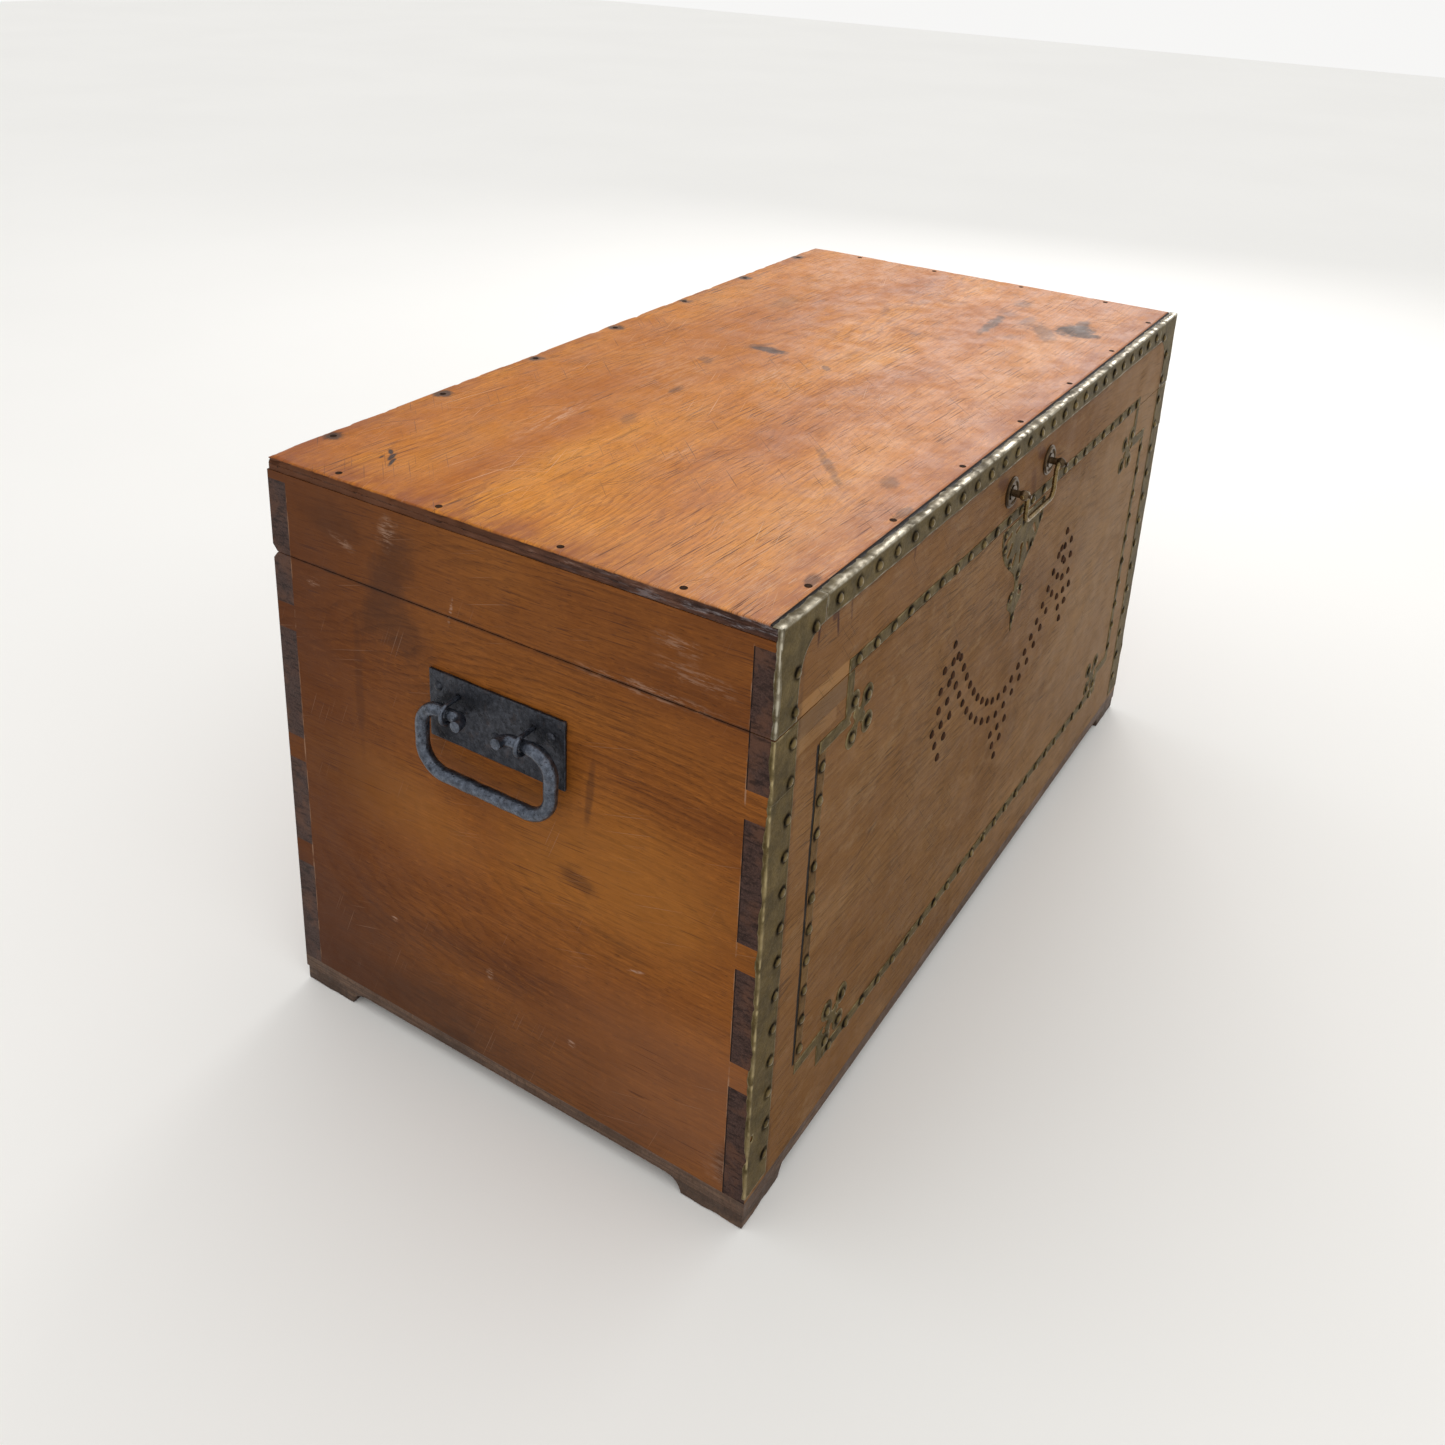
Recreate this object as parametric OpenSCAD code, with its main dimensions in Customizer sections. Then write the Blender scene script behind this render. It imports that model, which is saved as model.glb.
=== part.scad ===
// Dovetailed wooden chest with a hinged lid, brass edge trim, an inset chest lock and iron end handles.
// X runs along the chest, the front faces -Y, Z is up. The origin is on the floor, at the centre
// of the whole footprint, the front handle's posts included. All sizes are in millimetres.

/* [Chest] */
// Length of the chest, left end to right end
body_w = 889; // [800:1:1000]
// Depth of the chest, front face to back face
body_d = 457; // [400:1:520]
// Height of the chest, floor to lid top
body_h = 508; // [480:1:560]
// Thickness of the front, back and end boards
wall_t = 19; // [18:0.5:22]
// Thickness of the bottom board
bottom_t = 12; // [10:0.5:16]
// Height of the corner feet
foot_h = 15; // [12:1:25]
// Side of a corner foot under the bottom board
foot_w = 70; // [60:1:90]

/* [Lid] */
// Height of the lid, from the split to its top face
lid_h = 81; // [76:1:95]
// Thickness of the lid's top board
top_t = 11; // [9:0.5:13]
// Open line between the chest and the closed lid
lid_gap = 0.8; // [0.6:0.1:1.2]
// Angle at which the stop chamfers of the lid and the back board meet
lid_stop = 100; // [90:1:110]

/* [Dovetails] */
// Height of a pin at the outer face of an end board
pin_h = 23; // [16:1:28]
// Length over which a joint's flank moves sideways by one
pin_slope = 6; // [5:0.5:8]

/* [Brass trim] */
// Thickness of the sheet brass
brass_t = 0.9; // [0.7:0.1:1.2]
// Width of a corner strap on the front face
strap_w = 31; // [24:1:36]
// Height of the lid's edge strap on the front face
edge_h = 21; // [18:1:26]
// Width of a border strip
strip_w = 10.5; // [9:0.5:13]
// Spacing of the dome nails
nail_pitch = 29; // [24:1:34]
// Radius of a dome nail's head
nail_r = 4.1; // [3:0.1:4.5]

/* [Stud garland] */
// Radius of a stud's head
stud_r = 3.3; // [2.5:0.1:4]
// Spacing of the studs along a row
stud_pitch = 18; // [15:0.5:22]
// Distance between the two rows
row_gap = 18; // [14:0.5:22]

/* [End handles] */
// Length of a handle's iron plate
plate_w = 128; // [120:1:140]
// Height of a handle's iron plate
plate_h = 58; // [52:1:64]
// Height of the handles' pivot above the floor
handle_z = 357; // [340:1:370]
// Drop of a handle, from its pivot to the middle of its grip
handle_drop = 55; // [50:1:60]
// Overall width of a handle
handle_w = 133; // [128:1:140]
// Radius of the grip's round bar
grip_r = 5.75; // [5:0.25:6]

/* [Front handle] */
// Distance between the two posts
post_gap = 92; // [90:1:100]
// Height of the posts above the floor
post_z = 461; // [455:1:466]
// Drop of the small bail, from its pivot to the middle of its grip
bail_drop = 29; // [27:0.5:31]

/* [Lock and hinges] */
// Height of the middle of the keyhole above the floor
key_z = 387; // [384:1:390]
// Travel of the lock's bolt
bolt_travel = 8; // [6:0.5:8]
// Length of a hinge
hinge_w = 64; // [50:1:76]
// Distance of each hinge from the middle of the chest
hinge_x = 280; // [200:5:320]

/* [Hidden] */
$fn = 48;

// A little more than a cut needs, so that it comes out clean.
eps = 1;
half_w = body_w / 2;
split_z = body_h - lid_h;
wall_z = foot_h + bottom_t;
rim_z = split_z + lid_gap;
top_z = body_h - top_t;
// How far the front handle's posts stand out of the front face.
front_proud = 18;
front_y = (front_proud - body_d) / 2;
back_y = front_y + body_d;
mid_y = (front_y + back_y) / 2;
inner_y = front_y + wall_t;

// Heights of the body's dovetail pins, and the underside of the lid's half pins.
pin_z = [142, 248, 372];
lid_pin_z = top_z - 7;

// Lid hinges
hinge_inset = 5;
knuckle_r = 3.6;
hinge_pin_r = 2;
hinge_play = 0.05;
leaf_w = 13;
leaf_t = 1.8;
knuckles = 5;
axis_y = back_y - hinge_inset;
axis_z = split_z + lid_gap / 2;

// Brass trim on the front face
strap_wrap = 4;
strap_foot_z = 31;
strap_lap_z = 377;
top_flange = 9;
lid_strap_w = 28;
lid_plate_w = 60;
gusset_r = 30;
border_x = 374;
border_top_x = 337;
step_z = 392;
border_foot_z = 107;
border_bottom_z = 74;
nail_h = 2.4;
nail_shank = 9;
nail_shank_r = 0.9;
// Middles of an upper left leaf's lobes, from the inner corner of its step.
leaf_lobes = [[8, -18], [33, -17], [30, 7], [8, 12]];

// Stud garland
garland_x = 134;
garland_top_z = 340;
garland_sag = 108;

// Handle ironwork
handle_plate_t = 3;
handle_out = 15;
staple_x = 35;
staple_r = 2;
staple_loop_r = 7.5;
grip_end_r = 4.75;
hook_r = 7;
plate_z = 351;

// Front handle
post_r = 3.2;
post_ball_r = 4.6;
post_out = 11.5;
bail_r = 2.2;
bail_end_r = 1.9;
bail_play = 0.05;
post_shank_r = 2;

// Lock
lock_w = 72;
lock_h = 60;
lock_plate_w = 92;
lock_plate_t = 2;
lock_depth = 12.7;
lock_cap_t = 1.2;
lock_rim_t = 2;
selvedge_t = 2.2;
selvedge_d = 14;
loop_x = [-16, 16];
loop_t = 4;
loop_d = 7;
loop_reach = 19.5;
bolt_y = inner_y - 6.75;
bolt_t = 2.6;
catch_w = 66;
catch_d = 13;
catch_screw_x = 27;
lock_screw_drops = [14, 48];

wood = "peru";
end_wood = "sienna";
brass = "darkgoldenrod";
iron = "dimgray";
steel = "slategray";

// ---------- shared shapes ----------

module block(low, high) {
    translate(low) cube(high - low);
}

// Puts a flat outline drawn in X and Z on the front face, t thick.
module on_front(t) {
    translate([0, front_y, 0]) rotate([90, 0, 0]) linear_extrude(t) children();
}

// Stands children that point along +Z on the left (-1) or right (1) end, pointing outward.
module on_end(side) {
    mirror([side > 0 ? 1 : 0, 0, 0])
        translate([-half_w, mid_y, 0])
            rotate([90, 0, -90])
                children();
}

module mirrored_x() {
    children();
    mirror([1, 0, 0]) children();
}

// A domed nail with its head on z = 0 and its shank below.
module dome_nail(r = nail_r, h = nail_h, shank = nail_shank, shank_r = nail_shank_r) {
    dome_r = (r * r + h * h) / (2 * h);
    rotate_extrude() {
        intersection() {
            translate([0, h - dome_r]) circle(dome_r);
            square([r, h]);
        }
        translate([0, -shank]) square([shank_r, shank]);
    }
}

// A flat-headed wire nail driven along -Z, its head flush with z = 0.
module wire_nail(length, head_r = 2.8) {
    translate([0, 0, -1]) cylinder(r = head_r, h = 1);
    translate([0, 0, -length]) cylinder(r = 1.1, h = length);
}

// A countersunk screw driven along -Z, its head flush with z = 0.
module screw(head_r = 2.6, head_h = 1.4, r = 1.3, length = 11) {
    translate([0, 0, -head_h]) cylinder(r1 = r, r2 = head_r, h = head_h);
    translate([0, 0, -length]) cylinder(r = r, h = length - head_h);
}

// The hole that a screw's head sits in, with a little play.
module countersink(through, head_r = 2.6, head_h = 1.4, r = 1.3) {
    play = 0.1;
    translate([0, 0, -head_h]) cylinder(r1 = r + play, r2 = head_r + play, h = head_h);
    translate([0, 0, -through - eps]) cylinder(r = r + play, h = through + eps);
    cylinder(r = head_r + play, h = eps);
}

// A round bar that starts along +Z. Steps: ["line", length], ["bend", radius, angle] towards
// the bar's own +X, ["taper", length, new radius], ["roll", angle] about the bar.
module bent_rod(r, steps, i = 0) {
    if (i < len(steps)) {
        step = steps[i];
        if (step[0] == "line") {
            cylinder(r = r, h = step[1]);
            translate([0, 0, step[1]]) bent_rod(r, steps, i + 1);
        }
        if (step[0] == "taper") {
            cylinder(r1 = r, r2 = step[2], h = step[1]);
            translate([0, 0, step[1]]) bent_rod(step[2], steps, i + 1);
        }
        if (step[0] == "roll") {
            rotate([0, 0, step[1]]) bent_rod(r, steps, i + 1);
        }
        if (step[0] == "bend") {
            translate([step[1], 0, 0])
                rotate([90, 0, 180])
                    rotate_extrude(angle = step[2])
                        translate([step[1], 0]) circle(r);
            translate([step[1] * (1 - cos(step[2])), 0, step[1] * sin(step[2])])
                rotate([0, step[2], 0])
                    bent_rod(r, steps, i + 1);
        }
    }
}

// Point at t on a cubic curve with the four control points p.
function curve(p, t) =
    pow(1 - t, 3) * p[0] + 3 * t * pow(1 - t, 2) * p[1] + 3 * t * t * (1 - t) * p[2] + t * t * t * p[3];
function curve_points(p, n = 10) = [for (i = [0 : n]) curve(p, i / n)];

// ---------- carcass ----------

// Outline, in X and Z, of a dovetail pin at the left end, centred at height z.
module pin_outline(z) {
    outer = pin_h / 2;
    inner = outer + wall_t / pin_slope;
    polygon([
        [-half_w, z - outer], [-half_w + wall_t, z - inner],
        [-half_w + wall_t, z + inner], [-half_w, z + outer],
    ]);
}

// Outline of the half pin at the top of the lid's left end.
module lid_pin_outline() {
    polygon([
        [-half_w, lid_pin_z], [-half_w + wall_t, lid_pin_z - wall_t / pin_slope],
        [-half_w + wall_t, top_z], [-half_w, top_z],
    ]);
}

// Runs an outline drawn in X and Z through one board's thickness, starting at depth y.
module through_board(y) {
    translate([0, y + wall_t, 0]) rotate([90, 0, 0]) linear_extrude(wall_t) children();
}

module body_pins(y) {
    through_board(y) for (z = pin_z) pin_outline(z);
}

module lid_pins(y) {
    through_board(y) lid_pin_outline();
}

module keyhole_outline(r = 3.3, slot_w = 3, drop = 17) {
    translate([0, key_z + 6]) circle(r);
    translate([-slot_w / 2, key_z + 6 - drop]) square([slot_w, drop]);
}

// The space let into the front board for the lock.
module lock_mortise() {
    block([-lock_w / 2, inner_y - lock_depth, split_z - lock_h], [lock_w / 2, inner_y + eps, split_z + eps]);
    block([-lock_plate_w / 2, inner_y - lock_plate_t, split_z - lock_h],
          [lock_plate_w / 2, inner_y + eps, split_z + eps]);
    block([-lock_plate_w / 2, inner_y - selvedge_d, split_z - selvedge_t],
          [lock_plate_w / 2, inner_y + eps, split_z + eps]);
}

// The wedge cut off behind the hinge axis: below it (-1) from the back board, above it (1)
// from the lid's back rail. The two faces meet when the lid reaches its stop.
module stop_chamfer(way) {
    reach = hinge_inset + eps;
    translate([-half_w - eps, axis_y, axis_z])
        rotate([90, 0, 90])
            linear_extrude(body_w + 2 * eps)
                polygon([
                    [0, 0], [reach, way * reach * tan(lid_stop / 2)],
                    [reach, -way * eps], [0, -way * eps],
                ]);
}

module at_hinges() {
    for (side = [-1, 1]) translate([side * hinge_x, axis_y, axis_z]) children();
}

// Along X, centred on the hinge.
module hinge_rod(r, length) {
    rotate([0, 90, 0]) cylinder(r = r, h = length, center = true);
}

module knuckle_pockets() {
    at_hinges() hinge_rod(knuckle_r + 0.4, hinge_w + 1);
}

module front_board() {
    color(wood) difference() {
        block([-half_w, front_y, wall_z], [half_w, inner_y, split_z]);
        mirrored_x() body_pins(front_y);
        lock_mortise();
        translate([0, inner_y, 0]) rotate([90, 0, 0]) linear_extrude(wall_t + eps) keyhole_outline();
    }
}

module back_board() {
    color(wood) difference() {
        block([-half_w, back_y - wall_t, wall_z], [half_w, back_y, split_z]);
        mirrored_x() body_pins(back_y - wall_t);
        stop_chamfer(-1);
        knuckle_pockets();
        for (side = [-1, 1])
            block([side * hinge_x - hinge_w / 2, axis_y - leaf_w, split_z - leaf_t],
                  [side * hinge_x + hinge_w / 2, axis_y, split_z + eps]);
    }
}

module end_board() {
    block([-half_w, front_y + wall_t, wall_z], [-half_w + wall_t, back_y - wall_t, split_z]);
    body_pins(front_y);
    body_pins(back_y - wall_t);
}

module left_end_board() {
    color(end_wood) end_board();
}

module right_end_board() {
    color(end_wood) mirror([1, 0, 0]) end_board();
}

module bottom_board() {
    color(wood) block([-half_w, front_y, foot_h], [half_w, back_y, wall_z]);
}

// A foot's side seen square on: flat on the floor, with a hollow curve up to the bottom board.
module foot_outline() {
    difference() {
        square([foot_w, foot_h]);
        translate([foot_w, 0]) circle(foot_h - 2);
    }
}

// A foot: side_x is -1 for left or 1 for right, side_y is -1 for front or 1 for back.
module foot(side_x, side_y) {
    corner_y = side_y < 0 ? front_y : back_y;
    color(end_wood)
        translate([side_x * half_w, corner_y, 0])
            mirror([side_x > 0 ? 1 : 0, 0, 0])
                mirror([0, side_y > 0 ? 1 : 0, 0])
                    intersection() {
                        translate([0, foot_w, 0]) rotate([90, 0, 0]) linear_extrude(foot_w) foot_outline();
                        rotate([90, 0, 90]) linear_extrude(foot_w) foot_outline();
                    }
}

module foot_front_left() foot(-1, -1);
module foot_front_right() foot(1, -1);
module foot_back_left() foot(-1, 1);
module foot_back_right() foot(1, 1);

// Nails up through the bottom board into the boards above it.
module bottom_nails() {
    long_rows = [for (i = [-3 : 3]) i * 118];
    end_rows = [-110, 0, 110];
    color(iron) {
        for (x = long_rows, y = [front_y + wall_t / 2, back_y - wall_t / 2])
            translate([x, y, foot_h]) mirror([0, 0, 1]) wire_nail(bottom_t + 24);
        for (side = [-1, 1], y = end_rows)
            translate([side * (half_w - wall_t / 2), mid_y + y, foot_h])
                mirror([0, 0, 1]) wire_nail(bottom_t + 24);
    }
}

// ---------- brass trim of the chest ----------

// A strap bent round the left front corner between two heights, w wide on the front face.
module corner_strap(low, high, w) {
    block([-half_w - brass_t, front_y - brass_t, low], [-half_w + w, front_y, high]);
    block([-half_w - brass_t, front_y - brass_t, low], [-half_w, front_y + strap_wrap, high]);
}

module corner_brass() {
    seam = 0.4;
    corner_strap(strap_foot_z, strap_lap_z, strap_w);
    corner_strap(strap_lap_z + seam, split_z, strap_w);
}

module corner_brass_left() {
    color(brass) corner_brass();
}

module corner_brass_right() {
    color(brass) mirror([1, 0, 0]) corner_brass();
}

module side_strip() {
    on_front(brass_t) translate([-border_x - strip_w / 2, border_foot_z])
        square([strip_w, step_z - strip_w - border_foot_z]);
}

module border_strip_left() {
    color(brass) side_strip();
}

module border_strip_right() {
    color(brass) mirror([1, 0, 0]) side_strip();
}

module bottom_strip_outline() {
    translate([-border_top_x + strip_w / 2, border_bottom_z]) square([2 * border_top_x - strip_w, strip_w]);
}

module border_strip_bottom() {
    color(brass) on_front(brass_t) bottom_strip_outline();
}

// A pierced slit with round ends, r being half its width.
module slit(r, length, turn) {
    rotate(turn) {
        translate([0, length / 2]) circle(r);
        translate([0, -length / 2]) circle(r);
        translate([-r, -length / 2]) square([2 * r, length]);
    }
}

// A pierced leaf of four lobes, spreading from the inner corner of a border step. It is drawn
// for the upper left corner, with the step's own two strips, and reaches up to height top.
module ornament_outline(top) {
    lobe = 9;
    difference() {
        union() {
            translate([-border_x - strip_w / 2, step_z - strip_w])
                square([border_x - border_top_x + strip_w, strip_w]);
            translate([-border_top_x - strip_w / 2, step_z - strip_w])
                square([strip_w, top - step_z + strip_w]);
            for (p = leaf_lobes)
                translate([-border_top_x + p[0], step_z - strip_w / 2 + p[1]]) circle(lobe);
            translate([-border_top_x + 18, step_z - strip_w / 2 - 4]) circle(lobe + 2);
        }
        for (p = [[20, -17, 2.2, 9, 8], [19, 8, 2, 8, -12], [7, -3, 1.8, 7, 40], [30, -4, 1.8, 6, 80]])
            translate([-border_top_x + p[0], step_z - strip_w / 2 + p[1]]) slit(p[2], p[3], p[4]);
    }
}

module upper_ornament() {
    on_front(brass_t) ornament_outline(split_z);
}

// The lower corners are the same leaf turned upside down, cut where it meets the bottom strip.
module lower_ornament() {
    turn_z = step_z - strip_w + border_foot_z;
    on_front(brass_t) difference() {
        translate([0, turn_z]) mirror([0, 1]) ornament_outline(turn_z - border_bottom_z);
        bottom_strip_outline();
    }
}

module corner_ornament_upper_left() {
    color(brass) upper_ornament();
}

module corner_ornament_upper_right() {
    color(brass) mirror([1, 0, 0]) upper_ornament();
}

module corner_ornament_lower_left() {
    color(brass) lower_ornament();
}

module corner_ornament_lower_right() {
    color(brass) mirror([1, 0, 0]) lower_ornament();
}

// Dome nails with their heads on the brass, at the points [x, z] of the front face.
module front_nails(points) {
    for (p = points) translate([p[0], front_y - brass_t, p[1]]) rotate([90, 0, 0]) dome_nail();
}

// Evenly spaced numbers from one value to another, about nail_pitch apart.
function spaced(from, to) =
    let (n = round(abs(to - from) / nail_pitch)) [for (i = [0 : n]) from + (to - from) * i / n];

strap_nail_x = half_w - 24;
module body_trim_nails() {
    side_nails = [for (z = spaced(border_foot_z + 12, step_z - strip_w - 12)) [-border_x, z]];
    strap_nails = [for (z = spaced(56, split_z - 14)) [-strap_nail_x, z]];
    turn_z = step_z - strip_w + border_foot_z;
    leaf_nails = [for (p = leaf_lobes) [-border_top_x + p[0], step_z - strip_w / 2 + p[1]]];
    lower_leaf_nails = [for (p = leaf_nails) [p[0], turn_z - p[1]]];
    color(brass) {
        mirrored_x() front_nails(concat(side_nails, strap_nails, leaf_nails, lower_leaf_nails));
        front_nails([
            for (x = spaced(-border_top_x + 16, border_top_x - 16)) [x, border_bottom_z + strip_w / 2]
        ]);
        for (side = [-1, 1], p = escutcheon_nails)
            if (side > 0 || p[0] > 0)
                translate([side * p[0], front_y - brass_t, split_z + p[1]])
                    rotate([90, 0, 0]) dome_nail(2.6, 1.6, 6, 0.8);
    }
}

// ---------- escutcheon and studs ----------

// Small nails of the face plate's right half, down from split_z.
escutcheon_nails = [[46, -7], [45, -22], [0, -8], [27, -42], [0, -62], [13, -80], [0, -106]];

// Right half of the lock's face plate, with x outward and y down from the top edge at split_z.
escutcheon_side = concat(
    [[0, -2], [52, -2]],
    curve_points([[52, -2], [55, -26], [36, -42], [20, -52]]),
    curve_points([[20, -52], [10, -59], [4, -66], [4.5, -78]]),
    curve_points([[4.5, -78], [8, -74], [19, -76], [18, -86]]),
    curve_points([[18, -86], [17, -98], [7, -92], [5, -104]]),
    [[3.5, -112], [0, -121]]
);

module escutcheon_outline() {
    n = len(escutcheon_side);
    other_side = [for (i = [1 : n - 2]) [-escutcheon_side[n - 1 - i][0], escutcheon_side[n - 1 - i][1]]];
    translate([0, split_z]) polygon(concat(escutcheon_side, other_side));
}

// Slits pierced in the right half: [x, y below the split, half width, length, turn].
escutcheon_slits = [
    [38, -13, 2, 12, 70], [31, -27, 2.2, 10, 40], [17, -41, 1.8, 9, 30], [15, -12, 1.8, 8, 80],
    [10, -84, 1.6, 4, 60],
];

module escutcheon() {
    color(brass) on_front(brass_t) difference() {
        escutcheon_outline();
        keyhole_outline();
        for (side = [0, 1], p = escutcheon_slits)
            mirror([side, 0]) translate([p[0], split_z + p[1]]) slit(p[2], p[3], p[4]);
    }
}

// The garland hangs in a parabola, z = low + rise * x * x, between its two tied ends.
garland_rise = garland_sag / (garland_x * garland_x);
function next_x(x) = x + stud_pitch / sqrt(1 + pow(2 * garland_rise * (x + stud_pitch / 2), 2));
function swag_x(x) = x > garland_x ? [] : concat([x], swag_x(next_x(x)));

// A point of the garland's row, offset square to the curve.
function swag_point(x, offset) =
    let (slope = 2 * garland_rise * x, long = sqrt(1 + slope * slope))
    [x - offset * slope / long, garland_top_z - garland_sag + garland_rise * x * x + offset / long];

// A drop of studs in rows of three, two and one, with its top row at [x, z].
function drop_points(x, z) = [
    for (row = [0 : 2], i = [0 : 2 - row])
        [x + (i - (2 - row) / 2) * row_gap, z - row * (stud_pitch - 2)]
];

garland_half = concat(
    [for (x = swag_x(stud_pitch / 2), side = [-1, 1]) swag_point(x, side * row_gap / 2)],
    [[garland_x + 4, garland_top_z + 16], [garland_x - 6, garland_top_z + 1]],
    [for (i = [0 : 2], side = [0, 1])
        [garland_x + 8 + side * row_gap - (i == 0 ? 4 : 0), garland_top_z - i * stud_pitch]],
    drop_points(garland_x + 8 + row_gap / 2, garland_top_z - 3 * stud_pitch)
);
centre_drop = drop_points(0, garland_top_z - garland_sag - row_gap / 2 - stud_pitch);

module garland_studs() {
    color(iron)
        for (p = concat(garland_half, [for (q = garland_half) [-q[0], q[1]]], centre_drop))
            translate([p[0], front_y, p[1]]) rotate([90, 0, 0]) dome_nail(stud_r, 2, 8, 0.8);
}

// ---------- lock ----------

module lock_case() {
    low_z = split_z - lock_h;
    under = split_z - selvedge_t;
    rim_y = inner_y - lock_depth + lock_cap_t;
    color(brass) difference() {
        union() {
            block([-lock_plate_w / 2, inner_y - lock_plate_t, low_z], [lock_plate_w / 2, inner_y, split_z]);
            block([-lock_plate_w / 2, inner_y - selvedge_d, under], [lock_plate_w / 2, inner_y, split_z]);
            block([-lock_w / 2, rim_y, low_z], [lock_w / 2, inner_y, low_z + lock_rim_t]);
            for (side = [-1, 1])
                translate([side * (lock_w - lock_rim_t) / 2 - lock_rim_t / 2, rim_y, low_z])
                    cube([lock_rim_t, inner_y - rim_y, lock_h]);
        }
        for (x = loop_x)
            translate([x - loop_t / 2 - 0.9, bolt_y - loop_d / 2 - 1, under - eps])
                cube([loop_t + 1.8, loop_d + 2, selvedge_t + 2 * eps]);
        lock_screw_places() countersink(lock_plate_t);
    }
}

module lock_screw_places() {
    for (x = [-1, 1], drop = lock_screw_drops)
        translate([x * (lock_plate_w + lock_w) / 4, inner_y, split_z - drop]) rotate([-90, 0, 0]) children();
}

module lock_cap() {
    color(brass) difference() {
        block([-lock_w / 2, inner_y - lock_depth, split_z - lock_h],
              [lock_w / 2, inner_y - lock_depth + lock_cap_t, split_z - selvedge_t]);
        translate([0, inner_y, 0]) rotate([90, 0, 0]) linear_extrude(wall_t) keyhole_outline();
    }
}

// The pin that the pipe key turns on.
module lock_key_pin() {
    color(steel)
        translate([0, inner_y - lock_plate_t, key_z + 6])
            rotate([90, 0, 0]) cylinder(r = 1.5, h = lock_depth - lock_plate_t - 0.5);
}

bolt_bar_top = split_z - 21;
bolt_bar_low = split_z - 28;

// A bent leaf that bears up against the bolt's bar and holds it where the key leaves it.
module lock_spring() {
    spring_w = 5;
    leaf = 0.8;
    low_z = split_z - lock_h + lock_rim_t;
    foot_x = -lock_w / 2 + lock_rim_t;
    foot_top = low_z + 16;
    tip = [-14, bolt_bar_low - 0.4];
    color(steel)
        translate([0, bolt_y + spring_w / 2, 0])
            rotate([90, 0, 0])
                linear_extrude(spring_w)
                    polygon([
                        [foot_x, low_z], [foot_x + leaf, low_z], [foot_x + leaf, foot_top],
                        tip - [0, leaf], tip, [foot_x, foot_top + leaf],
                    ]);
}

module lock_screws() {
    color(brass) lock_screw_places() screw();
}

// Two fingers that slide through the loops of the catch plate. The notch takes the key's bit.
module lock_bolt() {
    finger_low = split_z - 17;
    finger_high = split_z - 11;
    post_w = 4;
    tip_gap = 1;
    notch = [8, 4];
    tip_x = -loop_t / 2 - tip_gap;
    post_x = tip_x - bolt_travel - post_w;
    color(steel) translate([0, bolt_y - bolt_t / 2, 0]) {
        difference() {
            translate([loop_x[0] + post_x, 0, bolt_bar_low])
                cube([loop_x[1] - loop_x[0] - post_x + 5, bolt_t, bolt_bar_top - bolt_bar_low]);
            translate([-notch[0] / 2, -eps, bolt_bar_low - eps])
                cube([notch[0], bolt_t + 2 * eps, notch[1] + eps]);
        }
        for (x = loop_x) {
            translate([x + post_x, 0, bolt_bar_low]) cube([post_w, bolt_t, finger_high - bolt_bar_low]);
            translate([x + post_x + post_w, 0, finger_low])
                cube([bolt_travel, bolt_t, finger_high - finger_low]);
        }
    }
}

module catch_screw_places() {
    for (x = [-1, 1]) translate([x * catch_screw_x, bolt_y, rim_z]) rotate([180, 0, 0]) children();
}

// The lid's catch plate, with the two loops that drop into the lock.
module lock_catch() {
    eye_low = split_z - 17.6;
    eye_high = split_z - 10.4;
    eye_w = 3.8;
    color(brass) difference() {
        union() {
            block(
                [-catch_w / 2, bolt_y - catch_d / 2, rim_z],
                [catch_w / 2, bolt_y + catch_d / 2, rim_z + selvedge_t]
            );
            for (x = loop_x)
                block([x - loop_t / 2, bolt_y - loop_d / 2, split_z - loop_reach],
                      [x + loop_t / 2, bolt_y + loop_d / 2, rim_z + selvedge_t]);
        }
        for (x = loop_x)
            block([x - loop_t / 2 - eps, bolt_y - eye_w / 2, eye_low],
                  [x + loop_t / 2 + eps, bolt_y + eye_w / 2, eye_high]);
        catch_screw_places() countersink(selvedge_t);
    }
}

module lock_catch_screws() {
    color(brass) catch_screw_places() screw();
}

// ---------- lid hinges ----------

// Knuckles number first, first + 2 and so on, counted from the left, with room left at their ends.
module knuckle_set(first, r, room) {
    pitch = hinge_w / knuckles;
    for (i = [first : 2 : knuckles - 1])
        translate([-hinge_w / 2 + (i + 0.5) * pitch, 0, 0]) hinge_rod(r, pitch - room);
}

module hinge_screw_places(way) {
    for (x = [-22, 0, 22])
        translate([x, -leaf_w * 0.58, way * lid_gap / 2]) rotate([way < 0 ? 0 : 180, 0, 0]) children();
}

// One leaf about the hinge axis: the chest's (way -1, outer knuckles) or the lid's (way 1).
module hinge_leaf(way) {
    own = way < 0 ? 0 : 1;
    flat_z = way < 0 ? -lid_gap / 2 - leaf_t : lid_gap / 2;
    difference() {
        union() {
            difference() {
                translate([-hinge_w / 2, -leaf_w, flat_z]) cube([hinge_w, leaf_w, leaf_t]);
                knuckle_set(1 - own, knuckle_r + 0.3, -0.4);
            }
            knuckle_set(own, knuckle_r, 0.2);
        }
        hinge_rod(hinge_pin_r + hinge_play, hinge_w + 2 * eps);
        hinge_screw_places(way) countersink(leaf_t);
    }
}

module hinge_leaf_body_left() {
    color(brass) translate([-hinge_x, axis_y, axis_z]) hinge_leaf(-1);
}

module hinge_leaf_body_right() {
    color(brass) translate([hinge_x, axis_y, axis_z]) hinge_leaf(-1);
}

module hinge_leaf_lid_left() {
    color(brass) translate([-hinge_x, axis_y, axis_z]) hinge_leaf(1);
}

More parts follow.
